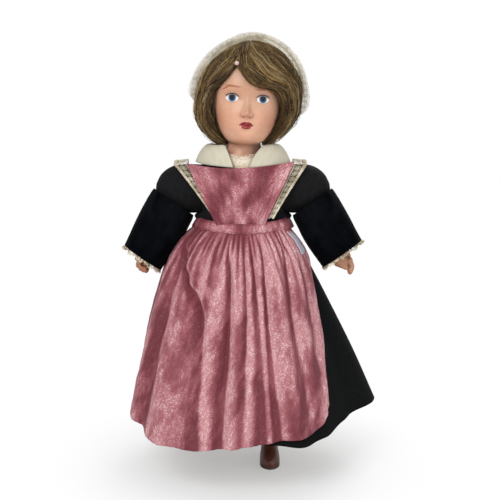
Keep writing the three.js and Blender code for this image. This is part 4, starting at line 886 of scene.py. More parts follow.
# %% [markdown]
# ## Painting the face
# The paint is laid on as the decorator did it: flesh, blush, eyes, lashes, brows and lips, one
# ellipse after another, in millimetres on the front of the face. A painted shade on the forehead and
# beside the nose's wings, and a painted highlight on the lower lip, are laid on the same way.

# %% Face paint
face_paint, tree, shader, places = new_finish("face_paint")
on_face = node(tree, "ShaderNodeAttribute", attribute_name="face").outputs["Vector"]
mottle = use_group(tree, mottle_group, {"Place": places, "Scale": 60.0})
tone = blend_colour(tree, mottle["Broad"], colour(214, 166, 139), colour(205, 153, 126))


PAINT_FRONT, PAINT_REACH = 32, 42


def mask_of(x, z, wide, tall, turn=0.0, soft=0.1):
    """An ellipse on the front of the face, deep enough to take in the face's curve."""
    return use_group(tree, spot_group, {"Place": on_face, "Centre": (x, z, -PAINT_FRONT),
                                        "Radii": (wide, tall, PAINT_REACH),
                                        "Turn": turn * DEGREE, "Soft": soft})["Mask"]


def paint(tone, x, z, wide, tall, tint, turn=0.0, soft=0.15, strength=1.0, inside=None):
    mask = mask_of(x, z, wide, tall, turn, soft)
    if inside is not None:
        mask = math_node(tree, "MULTIPLY", mask, inside)
    return blend_colour(tree, math_node(tree, "MULTIPLY", mask, strength), tone, colour(*tint))


# Painted shade darkens the forehead.
tone = paint(tone, 0, 62, 30, 19, (186, 142, 114), soft=0.9, strength=0.75)
for side in (-1, 1):
    tone = paint(tone, side * 16, 28, 10, 9, (200, 122, 94), soft=0.85, strength=0.3)
    tone = paint(tone, side * 12, 49.5, 8, 4, (198, 144, 118), soft=0.8, strength=0.5)
tone = paint(tone, 0, 14, 7, 5, (198, 130, 104), soft=0.9, strength=0.3)
tone = paint(tone, 0, 33, 4, 4, (204, 134, 110), soft=0.9, strength=0.3)
for side in (-1, 1):
    tone = paint(tone, side * 2.4, 31.4, 1.0, 0.55, (128, 62, 50), soft=0.5, strength=0.7)
    # Painted shade in the creases beside the nose's wings.
    tone = paint(tone, side * 4.6, 32.8, 0.7, 1.3, (176, 108, 88), turn=side * 14, soft=0.7, strength=0.5)

# Eyes: a white almond, a blue iris with a dark rim, a pupil and a shadow under the lid.
for side in (-1, 1):
    x, z = side * EYE_SIDE, EYE_HIGH
    almond = math_node(tree, "MULTIPLY", mask_of(x, z - 1.0, 5.0, 3.9, soft=0.06),
                       mask_of(x, z + 1.6, 5.3, 4.3, soft=0.06))
    tone = blend_colour(tree, almond, tone, colour(224, 224, 222))
    for radius, rise, tint in ((2.75, 0.3, (22, 36, 62)), (2.4, 0.3, (42, 80, 128)), (2.05, 0.3, (62, 108, 156)),
                               (1.8, 0.5, (0, 0, 3))):
        tone = paint(tone, x, z + rise, radius, radius, tint, soft=0.1, inside=almond)
    tone = paint(tone, x, z + 2.6, 4.4, 1.5, (20, 24, 40), soft=0.6, strength=0.75, inside=almond)
    lid = math_node(tree, "SUBTRACT", mask_of(x, z - 0.75, 5.9, 4.8, soft=0.05),
                    mask_of(x, z - 1.1, 5.4, 4.15, soft=0.05), clamped=True)
    above = mask_of(x, z + 6.0, 7.5, 6.0, soft=0.12)
    tone = blend_colour(tree, math_node(tree, "MULTIPLY", lid, above), tone, colour(36, 30, 38))
    low_lid = math_node(tree, "SUBTRACT", mask_of(x, z + 1.6, 5.7, 4.7, soft=0.06),
                        mask_of(x, z + 1.7, 5.5, 4.35, soft=0.06), clamped=True)
    below = mask_of(x, z - 5.6, 6.0, 5.4, soft=0.12)
    low_line = math_node(tree, "MULTIPLY", math_node(tree, "MULTIPLY", low_lid, below), 0.7)
    tone = blend_colour(tree, low_line, tone, colour(150, 96, 74))
    tone = paint(tone, side * 6.6, z - 0.2, 0.65, 0.5, (188, 84, 74), soft=0.4, strength=0.7)
    for k in range(7):
        lean = side * (-62 + 19 * k)
        out = lean * DEGREE
        tone = paint(tone, x + 5.9 * math.sin(out), z - 0.3 + 4.6 * math.cos(out), 0.2, 1.15, (64, 52, 58),
                     turn=lean * 0.8, soft=0.5, strength=0.7)
    high = 54.0 if side < 0 else 52.6
    tone = paint(tone, side * 11.4, high, 5.4, 0.85, (150, 88, 54), turn=-side * 4, soft=0.45, strength=0.9)
    tone = paint(tone, side * 16.6, high - 1.3, 2.9, 0.6, (150, 88, 54), turn=side * 30, soft=0.5, strength=0.9)

# Lips: a cupid's bow above, a fuller lip below and a dark line between them.
for side in (-1, 1):
    tone = paint(tone, side * 2.0, 26.7, 2.5, 1.25, (132, 36, 40), turn=side * 14, soft=0.14)
    tone = paint(tone, side * 3.6, 25.8, 1.9, 0.8, (130, 36, 38), turn=side * 22, soft=0.2)
tone = paint(tone, 0, 24.3, 3.7, 1.7, (144, 46, 48), soft=0.16)
tone = paint(tone, 0, 25.35, 4.4, 0.22, (112, 28, 36), soft=0.35)
# A painted highlight on the lower lip.
tone = paint(tone, -0.6, 24.1, 1.3, 0.4, (190, 96, 96), soft=0.7, strength=0.5)
crazing = node(tree, "ShaderNodeTexVoronoi", {"Vector": places, "Scale": 230.0},
               feature="DISTANCE_TO_EDGE").outputs["Distance"]
crack = spread(tree, crazing, 0.05, 0.0, 0.0, 0.12)
tone = blend_colour(tree, crack, tone, colour(120, 78, 60))
link_in(tree, shader.inputs["Base Color"], tone)
link_in(tree, shader.inputs["Roughness"], spread(tree, mottle["Fine"], 0.2, 0.8, 0.34, 0.46))
shader.inputs["Specular IOR Level"].default_value = 0.22
pupils = math_node(tree, "ADD", mask_of(-EYE_SIDE, EYE_HIGH + 0.5, 1.9, 1.9),
                   mask_of(EYE_SIDE, EYE_HIGH + 0.5, 1.9, 1.9))
link_in(tree, shader.inputs["Coat Weight"], spread(tree, pupils, 0.0, 1.0, 0.2, 0.0))
shader.inputs["Coat Roughness"].default_value = 0.2
shader.inputs["Subsurface Weight"].default_value = 0.04
raise_surface(tree, shader, mottle["Fine"], 0.05)

settle("head_painted", form, "doll_head", face_paint, ["head_shell"], thickness=3.2, offset=-1.0)
print("paint nodes:", len(tree.nodes))

# %% [markdown]
# ## The mohair wig
# Locks start at the crown, fall forward over the shell of the hair, part at the pin and turn in at
# the neck. A few guides on each side say how the hair is combed, and each lock blends
# two neighbours. The strands of a lock begin apart and meet at its tip.

# %% Hair shell
HAIR_MIDDLE, HAIR_BACK, HAIR_WIDE, HAIR_FRONT, HAIR_REAR, HAIR_UP, HAIR_DOWN = 46.0, 2.0, 42.0, 41.0, 40.0, 45.0, 44.0
HAIR_HEM = 5.0
FLAT_HIGH, FLAT_LOW, FLAT_EAR, FULL_HIGH = 0.09, 0.16, 0.085, 0.04


def hair_reach(direction):
    deep = HAIR_FRONT if direction.y < 0 else HAIR_REAR
    tall = HAIR_DOWN if direction.z < 0 else HAIR_UP
    return 1 / math.sqrt((direction.x / HAIR_WIDE) ** 2 + (direction.y / deep) ** 2 + (direction.z / tall) ** 2)


def toward(turn, rise):
    """A direction from the middle of the hair: degrees from the front towards +X, and upward."""
    turn, rise = turn * DEGREE, rise * DEGREE
    return Vector((math.sin(turn) * math.cos(rise), -math.cos(turn) * math.cos(rise), math.sin(rise)))


def hair_flat(direction):
    """The hair lies flatter high on the doll's right and over that ear, and low on its left."""
    right, left = max(-direction.x, 0), max(direction.x, 0)
    high = FLAT_HIGH * right * max(direction.z, 0) * 2
    full = FULL_HIGH * left * max(direction.z, 0) * 2
    return high - full + FLAT_EAR * right * bump(direction.z, 0.02, 0.3) + FLAT_LOW * left * max(-direction.z - 0.35, 0)


def hair_place(direction, share):
    reach = hair_reach(direction) * (share - hair_flat(direction))
    return Vector((direction.x * reach, direction.y * reach + HAIR_BACK, direction.z * reach + HAIR_MIDDLE))


# The outline of the face in the hair: across and up, in millimetres on the head.
face_outline = [(-14, 77), (-7, 72), (2, 66), (10, 62), (22, 63), (32, 58), (34, 42), (30, 22), (18, 2), (-20, 2),
                (-31, 20), (-34, 40), (-34, 56), (-25, 64), (-19, 73)]


def in_face(x, z):
    inside = False
    for (ax, az), (bx, bz) in zip(face_outline, face_outline[1:] + face_outline[:1]):
        if (az > z) != (bz > z) and x < (bx - ax) * (z - az) / (bz - az) + ax:
            inside = not inside
    return inside


def shell_under(name, share, low, finish, nodes, thickness):
    """A shell inside the hair, open at the face."""
    form = grid_form(144, 90, lambda u, v: hair_place(toward(360 * u - 180, mix(low, 89.9, v)), share), wrap=True)
    middles = [(face, face.calc_center_median()) for face in form.faces]
    opened = [face for face, middle in middles if middle.y < 2 and in_face(middle.x, middle.z)]
    bmesh.ops.delete(form, context="FACES", geom=opened)
    for vert in form.verts:
        vert.co = head_spot(*vert.co)
    bmesh.ops.recalc_face_normals(form, faces=form.faces)
    return settle(name, form, "doll_head", finish, nodes, thickness=thickness)


# The dark shell under the strands is painted shade inside the wig.
shell_under("wig_under_hair", 0.86, -58, hair_under_shaded, [], 1.4)
shell_under("wig_cap_gauze", 0.81, 20, under_linen, ["wig_cap"], 0.8)
print("hair shell ready")

# %% Locks
right_guides = [
    [(-22, 82), (-19, 56), (-14, 35), (7, 14), (36, 9), (53, -16), (47, -58)],
    [(-8, 84), (-4, 62), (5, 43), (25, 25), (49, 13), (62, -22), (60, -62)],
    [(20, 84), (30, 66), (42, 49), (58, 32), (72, 8), (76, -27), (71, -65)],
    [(70, 84), (74, 68), (80, 50), (88, 27), (92, 0), (92, -31), (87, -66)],
    [(130, 84), (124, 66), (120, 46), (118, 22), (117, -4), (116, -34), (114, -64)],
    [(175, 84), (168, 64), (162, 42), (158, 17), (156, -10), (154, -37), (152, -62)],
    [(185, 84), (184, 64), (183, 42), (182, 17), (181, -10), (181, -37), (180, -62)]]
left_guides = [
    [(-24, 82), (-22, 56), (-20, 38), (-34, 20), (-51, 4), (-56, -28), (-56, -62)],
    [(-50, 84), (-42, 64), (-43, 45), (-54, 28), (-65, 5), (-69, -28), (-65, -67)],
    [(-90, 84), (-72, 66), (-68, 48), (-75, 29), (-81, 2), (-82, -29), (-75, -68)],
    [(-120, 84), (-100, 68), (-97, 48), (-99, 25), (-101, -1), (-101, -33), (-97, -67)],
    [(-150, 84), (-132, 66), (-127, 46), (-125, 21), (-124, -5), (-123, -35), (-120, -64)],
    [(-172, 84), (-166, 64), (-162, 42), (-158, 17), (-156, -10), (-154, -37), (-152, -62)],
    [(-184, 84), (-184, 64), (-183, 42), (-182, 17), (-181, -10), (-181, -37), (-180, -62)]]


def combed(guides, across, along):
    """The direction at a place between two guides."""
    place = clamp(across, 0, 1) * (len(guides) - 1)
    first = min(int(place), len(guides) - 2)
    step = clamp(along, 0, 1) * (len(guides[0]) - 1)
    low = min(int(step), len(guides[0]) - 2)
    pair = []
    for guide in guides[first:first + 2]:
        ends = [toward(*guide[k]) for k in range(max(low - 1, 0), min(low + 3, len(guide)))]
        start = 1 if low else 0
        a, b = ends[start], ends[start + 1]
        before = ends[start - 1] if start else a
        after = ends[start + 2] if len(ends) > start + 2 else b
        t = step - low
        pair.append(a + t * ((b - before) / 2 + t * (3 * (b - a) - (b - before) - (after - a) / 2
                                                     + t * ((b - before) / 2 + (after - a) / 2 - 2 * (b - a)))))
    return pair[0].lerp(pair[1], place - first).normalized()


dice = random.Random(5)
cap_pole = Vector((0, math.cos(25 * DEGREE), math.sin(25 * DEGREE)))
tints = {tint: [] for tint in hair_tints}
STRAND_STEPS, LOCKS, STRANDS, STRAND_RADIUS = 16, 190, 13, 0.22
# How far out a strand may lie, as shares of the hair's own surface: under the net and elsewhere.
UNDER_NET, OUTERMOST = 0.985, 1.035
# Deeper strands take only darker tints, a painted shade; the pale tints are paler fibres and painted highlights.
outer_choice = ("dark", "brown", "brown", "mid", "mid", "mid", "gold", "gold", "light")
shaded_inner_choice = ("dark", "dark", "brown", "brown", "mid")
for guides in (right_guides, left_guides):
    for _ in range(LOCKS):
        across = dice.random() ** 1.25
        length = dice.uniform(0.86, 1.06)
        begin = dice.choice((0.0, 0.0, 0.0, 0.14, 0.3)) + dice.uniform(0, 0.05)
        layer = dice.choice((0.88, 0.93, 0.97, 1.0))
        phase, waves = dice.uniform(0, 6.3), dice.uniform(1.8, 4.2)
        sway, lift = dice.uniform(1.4, 3.8), dice.uniform(0.014, 0.04)
        choices = outer_choice if layer > 0.95 else shaded_inner_choice
        lock_tint = dice.choice(choices)
        for _ in range(STRANDS):
            fan, height, tail = dice.gauss(0, 0.028), dice.gauss(0, 0.02), dice.uniform(0.84, 1.05)
            drift, own = dice.gauss(0, 3.6), dice.uniform(-1.4, 1.4)
            tint = lock_tint if dice.random() < 0.6 else dice.choice(choices)
            loose = 0.035 if dice.random() < 0.07 else 0
            path = []
            for k in range(STRAND_STEPS):
                t = k / (STRAND_STEPS - 1)
                along = mix(begin, length * tail, t)
                direction = combed(guides, across + fan * (1.15 - 0.7 * t), min(along, 1.0))
                curl = sway * math.sin(phase + own + waves * 2 * math.pi * t) + drift * t
                turned = Matrix.Rotation(curl * DEGREE, 3, "Z") @ direction
                if along > 1:
                    turned = (turned + Vector((0, 0, 1 - along)) * 0.9).normalized()
                rooted = mix(0.94, 1.0, ease(min(t * 5 + begin * 4, 1)))
                share = layer * rooted + lift * math.sin(phase + own + 13 * t) + height - 0.05 * ease((t - 0.75) / 0.25)
                limit, flyaway = (UNDER_NET, 0.0) if turned.dot(cap_pole) > 0.02 else (OUTERMOST, loose * t)
                place = hair_place(turned, min(share, limit) + flyaway)
                place.z = max(place.z, HAIR_HEM)
                path.append((head_spot(*place), 0.35 + 0.65 * math.sin(math.pi * clamp(0.12 + 0.83 * t))))
            tints[tint].append(path)
for number, (tint, finish) in enumerate(hair_tints.items()):
    nodes = [] if number else ["wig"]
    strands_piece("wig_strands_" + tint, tints[tint], STRAND_RADIUS, "doll_head", finish, nodes)
print("strands:", {tint: len(paths) for tint, paths in tints.items()})

# %% Pearl-headed pin
PEARL = 1.7
PIN_SIDE, PIN_RISE = -10.2, 0.55
pin_front = HAIR_BACK - HAIR_FRONT * math.sqrt(1 - (PIN_SIDE / HAIR_WIDE) ** 2 - PIN_RISE ** 2) - PEARL - SEAT
pin_high = HAIR_MIDDLE + HAIR_UP * PIN_RISE
pearl_middle = head_spot(PIN_SIDE, pin_front, pin_high)
pin_end = head_spot(PIN_SIDE, pin_front + 3.2, pin_high - 1.1)
form = bmesh.new()
bmesh.ops.create_uvsphere(form, u_segments=24, v_segments=16, radius=PEARL * MM,
                          matrix=Matrix.Translation(pearl_middle))
settle("pin_pearl", form, "doll_head", pearl_glaze, ["hair_pin"])
strands_piece("pin_shaft", [[(pearl_middle, 1), (pin_end, 1)]], 0.4, "doll_head", steel_wire, sides=2)
print("pin ready")

# %% [markdown]
# ## Lace
# Bobbin lace is a ground of slanting threads with cords along both edges, motifs in the middle and
# small loops, the picots, along the outer edge. `lace_threads` draws those threads on any strip.

# %% Lace maker


def lace_threads(place, length, width, cell=1.7, motif=7.0, scallop=4.5, closed=False):
    """Threads of a strip: place(u, v) gives a spot, and length and width are in millimetres."""
    paths = []
    slant = width / length
    rounds = max(int(length / scallop), 2)

    def edge(u):
        return 1 + 0.14 * abs(math.sin(math.pi * u * rounds))

    def add(points, share):
        kept = [(place(u % 1 if closed else u, v), share) for u, v in points if closed or -1e-6 <= u <= 1 + 1e-6]
        if len(kept) > 1:
            paths.append(kept)

    for way in (1, -1):
        for k in range(-int(slant * length / cell) - 1, int(length / cell) + int(slant * length / cell) + 2):
            add([(k * cell / length + way * slant * j / 5 * 0.8, j / 5) for j in range(6)], 0.45)
    steps = int(length / 0.9)
    add([(k / steps, 0.0) for k in range(steps + 1)], 1.1)
    add([(k / steps, 0.12) for k in range(steps + 1)], 0.7)
    add([(k / steps, edge(k / steps)) for k in range(steps + 1)], 1.1)
    add([(k / steps, edge(k / steps) - 0.16) for k in range(steps + 1)], 0.7)
    for k in range(int(length / motif)):
        middle = (k + 0.5) * motif / length
        for ring, share in ((0.27, 1.0), (0.13, 0.8)):
            add([(middle + ring * width / length * math.cos(a), 0.52 + ring * math.sin(a))
                 for a in (2 * math.pi * j / 14 for j in range(15))], share)
        for j in range(4):
            a = math.pi * j / 4
            add([(middle - 0.4 * width / length * math.cos(a), 0.52 - 0.33 * math.sin(a)),
                 (middle + 0.4 * width / length * math.cos(a), 0.52 + 0.33 * math.sin(a))], 0.8)
    loops = int(length / 1.5)
    for k in range(loops):
        middle = (k + 0.5) / loops
        add([(middle + 0.4 / loops * math.cos(a), edge(middle) + 0.55 / width * math.sin(a))
             for a in (math.pi * j / 5 for j in range(6))], 0.6)
    return paths


print("lace maker ready")

# %% [markdown]
# ## The net cap
# A square of net, set on its corner, is drawn over the back of the hair. Its rim flares and ends
# in a narrow lace. The net is real: the Wireframe modifier leaves only the threads of its grid.

# %% Cap
COIF_GAP, COIF_FLARE, COIF_TILT, COIF_WALL = 0.8, 0.5, 25 * DEGREE, 0.8
COIF_LACE, COIF_RIPPLE, COIF_HEM, BRIM_ROOT = 5.0, 0.6, 0.87, 2.4
NET_THREAD, BRIM_THREAD = 0.3, 0.34
brim_shares = [(-128, 0.3), (-102, 0.4), (-92, 0.85), (-84, 1.2), (-70, 1.0), (-40, 1.0), (-15, 0.85),
               (20, 0.8), (45, 0.85), (75, 0.9), (95, 1.25), (112, 0.8), (128, 0.4)]
coif_rim_shares = [(0, 0.8), (45, 0.9), (90, 1), (120, 0.93), (150, 0.7), (180, 0.55)]


def coif_place(turn, out, proud):
    """A place on the cap: the turn from the top towards +X, the share of the way to the rim."""
    around = abs(turn)
    away = math.pi / 2 * follow(coif_rim_shares, around / DEGREE) * out
    pole = Vector((0, math.cos(COIF_TILT), math.sin(COIF_TILT)))
    up = Vector((0, -math.sin(COIF_TILT), math.cos(COIF_TILT)))
    across = Vector((1 if turn >= 0 else -1, 0, 0))
    direction = (pole * math.cos(away) + up * math.sin(away) * math.cos(around)
                 + across * math.sin(away) * math.sin(around))
    degrees = around / DEGREE
    open_by = mix(1.0, 0.1, ease((degrees - 84) / 16))
    flare = COIF_FLARE * (1.2 - 0.75 * bump(turn / DEGREE, -42, 26))
    stand = proud + (COIF_GAP + flare * ease(max((out - 0.6) / 0.4, 0))) * open_by
    place = direction * (hair_reach(direction) * (1 - hair_flat(direction)) + stand)
    return place + Vector((0, HAIR_BACK, HAIR_MIDDLE))


def leave_threads(piece, thickness):
    """Leaves only threads of this thickness, in millimetres, along the edges of a grid."""
    threads = piece.modifiers.new("threads", "WIREFRAME")
    threads.thickness = thickness * MM
    threads.use_even_offset = False


NET_CELLS = 100
form = grid_form(NET_CELLS, NET_CELLS, lambda u, v: Vector((u - v, u + v - 1, 0)))
bmesh.ops.delete(form, context="FACES", geom=[face for face in form.faces
                                              if any(vert.co.length > 1.0 for vert in face.verts)])
for vert in form.verts:
    out, turn = vert.co.length, math.atan2(vert.co.x, vert.co.y)
    wrinkle = 0.8 * rough(out * 26, turn * 7, 0, 4.5, 3.0) * ease(out * 2)
    vert.co = head_spot(*coif_place(turn, min(out, 1.0), COIF_WALL / 2 + max(wrinkle, -0.6)))
cap = settle("cap_net", form, "doll_head", net_thread, ["coif"])
leave_threads(cap, NET_THREAD)


def hem_place(u, v):
    """The rim's hem: the net goes out to the rim and folds back over itself."""
    turn = mix(-180, 180, u) * DEGREE
    out = mix(COIF_HEM, 1.0, 1 - abs(2 * v - 1))
    proud = COIF_WALL / 2 + (0.25 if v < 0.5 else 0.95) + 0.3 * rough(u * 60, v * 2, 0, 2.5, 4.0)
    return head_spot(*coif_place(turn, out, proud))


hem = settle("cap_hem", grid_form(200, 8, hem_place, wrap=True), "doll_head", net_thread)
leave_threads(hem, NET_THREAD)


def brim_place(u, v):
    """The lace at the rim: it opens over the hair and lies close behind the ears."""
    degrees = mix(-128, 128, u)
    turn = degrees * DEGREE
    edge = coif_place(turn, 1, COIF_WALL / 2)
    before = coif_place(turn, 0.94, COIF_WALL / 2)
    outward = (edge - Vector((0, HAIR_BACK, HAIR_MIDDLE))).normalized()
    open_by = 1 - 0.85 * ease((abs(degrees) - (85 if degrees < 0 else 93)) / 15)
    wide = COIF_LACE * v * follow(brim_shares, degrees)
    ripple = COIF_RIPPLE * v * (math.sin(30 * math.pi * u) + 0.6 * rough(degrees, v * 4, 0, 9, 2.0))
    along = (edge - before).normalized()
    rise = wide * 0.95 - COIF_GAP - BRIM_ROOT * (1 - v) ** 2
    place = edge + along * (SEAT + wide * mix(0.9, 0.3, open_by) + ripple) + outward * rise * open_by
    return head_spot(*place)


form = grid_form(230, 9, lambda u, v: brim_place(u, v * 0.93))
brim = settle("cap_brim_net", form, "doll_head", net_thread)
leave_threads(brim, BRIM_THREAD)


strands_piece("cap_lace", lace_threads(brim_place, 172, COIF_LACE, cell=1.2, motif=4.0, scallop=2.8), 0.17, "doll_head",
              lace_thread, ["coif_lace"])
rim_steps = 120
strands_piece("cap_rim_cord", [[(head_spot(*coif_place(mix(-180, 180, k / rim_steps) * DEGREE, 1, COIF_WALL / 2)), 1)
                                for k in range(rim_steps + 1)]], 0.3, "doll_head", net_thread, sides=2)
print("cap faces:", len(cap.data.polygons))

# %% [markdown]
# ## Collar, bands and sleeves
# The collar is two folded flaps of cotton that hug the neck, with a lace inset between them. Lace
# bands edge the bib and go over the shoulders. Each sleeve has a thin hood round the shoulder and a
# wide bell of black velvet, both turned about the shoulder's own axis.

# %% Collar
COLLAR_NECK, COLLAR_SIDE, COLLAR_FRONT, COLLAR_REAR = 17.2, 37.0, 23.6, 27.0
COLLAR_SIDE_DROP, COLLAR_FRONT_DROP, COLLAR_REAR_DROP = 3.0, 6.8, 4.4
collar_stand = [(0, 6.6), (0.3, 9.6), (0.6, 10.4), (0.84, 6.3), (1, 0)]


def collar_place(side, across, out):
    top, front = (68, 11) if side > 0 else (58, 17)
    angle = mix(mix(top, front, out), 178, across) * DEGREE
    x, y = oval(angle, mix(COLLAR_NECK, COLLAR_SIDE, out), mix(COLLAR_NECK, COLLAR_FRONT, out),
                mix(COLLAR_NECK, COLLAR_REAR, out), 2.2)
    turn = math.cos(angle)
    low = mix(COLLAR_SIDE_DROP, COLLAR_FRONT_DROP if turn > 0 else COLLAR_REAR_DROP, abs(turn))
    stand = follow(collar_stand, out) * (1 - 0.45 * ease((angle / DEGREE - 105) / 60))
    crease = 0.8 * rough(angle * 14, out * 9, side * 5.0, 5.5, 2.0) * math.sin(math.pi * clamp(out))
    return spot(side * x, y, NECK_HIGH + stand - low * ease(out * 1.4 - 0.4) + crease - 0.3)


for side, word in SIDES:
    form = grid_form(110, 34, lambda u, v: collar_place(side, u, v), size=(0.1, 0.022))
    flap = settle("collar_flap_" + word, form, "doll_body", collar_linen, ["collar_" + word], thickness=0.8)
print("collar ready")

# %% Neck lace and lace bands
LACE_TOP, LACE_LOW, LACE_TOP_WIDE, LACE_LOW_WIDE, LACE_TOP_DEEP, LACE_LOW_DEEP = 1.2, 7.8, 15.0, 10.6, 19.8, 23.6
BAND_TOP, BAND_LOW, BAND_PAST, BAND_FRONT = 8.5, 3.2, 115 * DEGREE, 0.7
# The right band slips behind the bib on its way down; both run on a little past the bib's corner.
BAND_TUCK, BAND_REACH = 5.6, 3.4


def neck_lace_place(u, v, proud=0.4):
    half = mix(LACE_LOW_WIDE, LACE_TOP_WIDE, v) * 0.78
    bend = 1 - 0.2 * (2 * u - 1) ** 2
    crumple = 0.7 * rough(u * 13, v * 10, 0, 2.6, 7.0)
    return spot(half * (2 * u - 1), -mix(LACE_LOW_DEEP, LACE_TOP_DEEP, v) * bend - proud - crumple,
                NECK_HIGH + mix(-LACE_LOW, LACE_TOP + 0.8 * math.sin(9 * u), v))


form = grid_form(30, 20, lambda u, v: neck_lace_place(u, v, -0.2), size=(0.014, 0.01))
settle("neck_lace_backing", form, "doll_body", lace_backing, thickness=0.3)
neck_threads = lace_threads(neck_lace_place, 14, 9.5, cell=0.9, motif=3.2, scallop=2.2)
neck_threads += lace_threads(lambda u, v: neck_lace_place(u, 1 - 0.95 * v, 0.9), 14, 9.0,
                             cell=1.3, motif=2.6, scallop=2.6)
strands_piece("neck_lace_threads", neck_threads, 0.2, "doll_body", neck_thread_painted_light, ["neck_lace"])


def band_place(side, share, across):
    up = min(share / BAND_FRONT, 1)
    z = mix(BIB_LOW + BAND_HIGH - BAND_REACH, BIB_CORNER, up)
    tuck = BAND_TUCK * (1 - up) ** 0.7 if side < 0 else 0
    x = side * BIB_DRIFT + bib_edge(z) + SEAT * 3 - tuck + mix(BAND_LOW, BAND_TOP, up ** 1.5) * across
    y = -chest_depth(x, z) - SEAT * 2 - 0.5 + 0.1 * tuck
    if share > BAND_FRONT:
        over = (share - BAND_FRONT) / (1 - BAND_FRONT)
        rise = z - SHOULDER_HIGH
        turn = mix(math.atan2(rise, -y), BAND_PAST, over)
        reach = mix(math.hypot(y, rise), ARMHOLE + SEAT * 4 + 0.5, over)
        y, z = -reach * math.cos(turn), SHOULDER_HIGH + reach * math.sin(turn)
    ripple = 0.35 * math.sin(share * 60 + across) * across
    return spot(side * x, y - ripple, z)


for side, word in SIDES:
    def edge_place(u, v):
        return band_place(side, u, v + 0.02 * math.sin(u * 190))

    threads = lace_threads(lambda u, v: band_place(side, u, v), 72, 6.4, cell=2.1, motif=5.0, scallop=2.4)
    for v, share in ((0.0, 2.2), (0.92, 2.4), (1.04, 3.0), (1.16, 2.2)):
        threads.append([(edge_place(k / 150, v), share) for k in range(151)])
    strands_piece("lace_band_threads_" + word, threads, 0.15, "doll_body", lace_thread,
                  ["lace_band_" + word])
print("bands ready")

# %% Sleeves
HOOD, SEAM_OUT, SEAM_DOWN, CUFF_OUT, CUFF_DOWN = 27.0, 12.0, 11.0, 37.0, 54.0
BELL_WIDE, BELL_DEEP, CUFF_WIDE, CUFF_DEEP = 20.5, 21.5, 17.6, 20.5
hood_shares = [(-0.39, 0.985), (-0.1, 1), (0.22, 1), (0.45, 0.94), (0.66, 0.8), (0.84, 0.56), (0.96, 0.25)]
bell_shares = [(0, 0.965, 0.96), (0.05, 0.99, 0.99), (0.3, 1, 1), (0.6, 0.98, 1.02), (0.85, 0.93, 1), (1, 0.9, 0.97)]
CUFF_LACE = 2.7
# The left bell is fuller at its mouth than the right one and lifted a little.
LEFT_WIDER, LEFT_IN, LEFT_UP, CHEST_ROOM = 0.13, 1.6, 2.6, 1.8


def hood_place(side, u, v):
    out = mix(-0.39, 0.985, v)
    radius = ARMHOLE * (follow(hood_shares, out) if out < 0.96 else mix(0.25, 0.0, (out - 0.96) / 0.025))
    angle = 2 * math.pi * u
    wrinkle = 0.5 * rough(out * 24, radius * math.sin(angle), radius * math.cos(angle), 7, 1.0)
    wrinkle *= math.sin(math.pi * clamp(v))
    radius += min(wrinkle, 0.35) - CLOTH / 2
    return Vector((side * out * HOOD, max(radius, 0) * math.sin(angle), max(radius, 0) * math.cos(angle)))


def below_seam(side, place):
    """True past the seam plane, which leans with the arm."""
    return (place.x * side - SEAM_OUT) * math.sin(ARM_SPLAY) - (place.z + SEAM_DOWN) * math.cos(ARM_SPLAY) > 0.4


def bell_place(side, u, v, wide=None, deep=None, inset=0.0):
    angle = 2 * math.pi * u
    half_wide = (BELL_WIDE * follow(bell_shares, v, 1) if wide is None else wide) - inset
    half_deep = (BELL_DEEP * follow(bell_shares, v, 2) if deep is None else deep) - inset
    spread_out = v * v if side > 0 else 0
    out = half_wide * (1 + LEFT_WIDER * spread_out) * math.cos(angle)
    out = max(out, CHEST_ROOM * bump(v, 0, 0.35) - half_wide)
    x = mix(SEAM_OUT, CUFF_OUT, v) - LEFT_IN * spread_out + SEAT * math.sin(ARM_SPLAY) + out * math.cos(ARM_SPLAY)
    z = -mix(SEAM_DOWN, CUFF_DOWN, v) + LEFT_UP * spread_out - SEAT * math.cos(ARM_SPLAY) + out * math.sin(ARM_SPLAY)
    return arm_spot(side, side * x, half_deep * math.sin(angle), z)


def bell_detail(u, v):
    """Folds of the velvet bell: inward only, so that it stays within its room."""
    angle = 2 * math.pi * u
    gathers = 0.4 * (0.5 + 0.5 * math.sin(17 * angle + 1.5 * math.sin(3 * angle))) * bump(v, 0, 0.18)
    folds = 0.9 * (0.5 + 0.5 * math.sin(4 * angle + 2 * v)) * ease(v)
    return 0.2 + gathers + folds + 0.5 * abs(rough(u * 70, v * 40, 0, 12, 2.0))


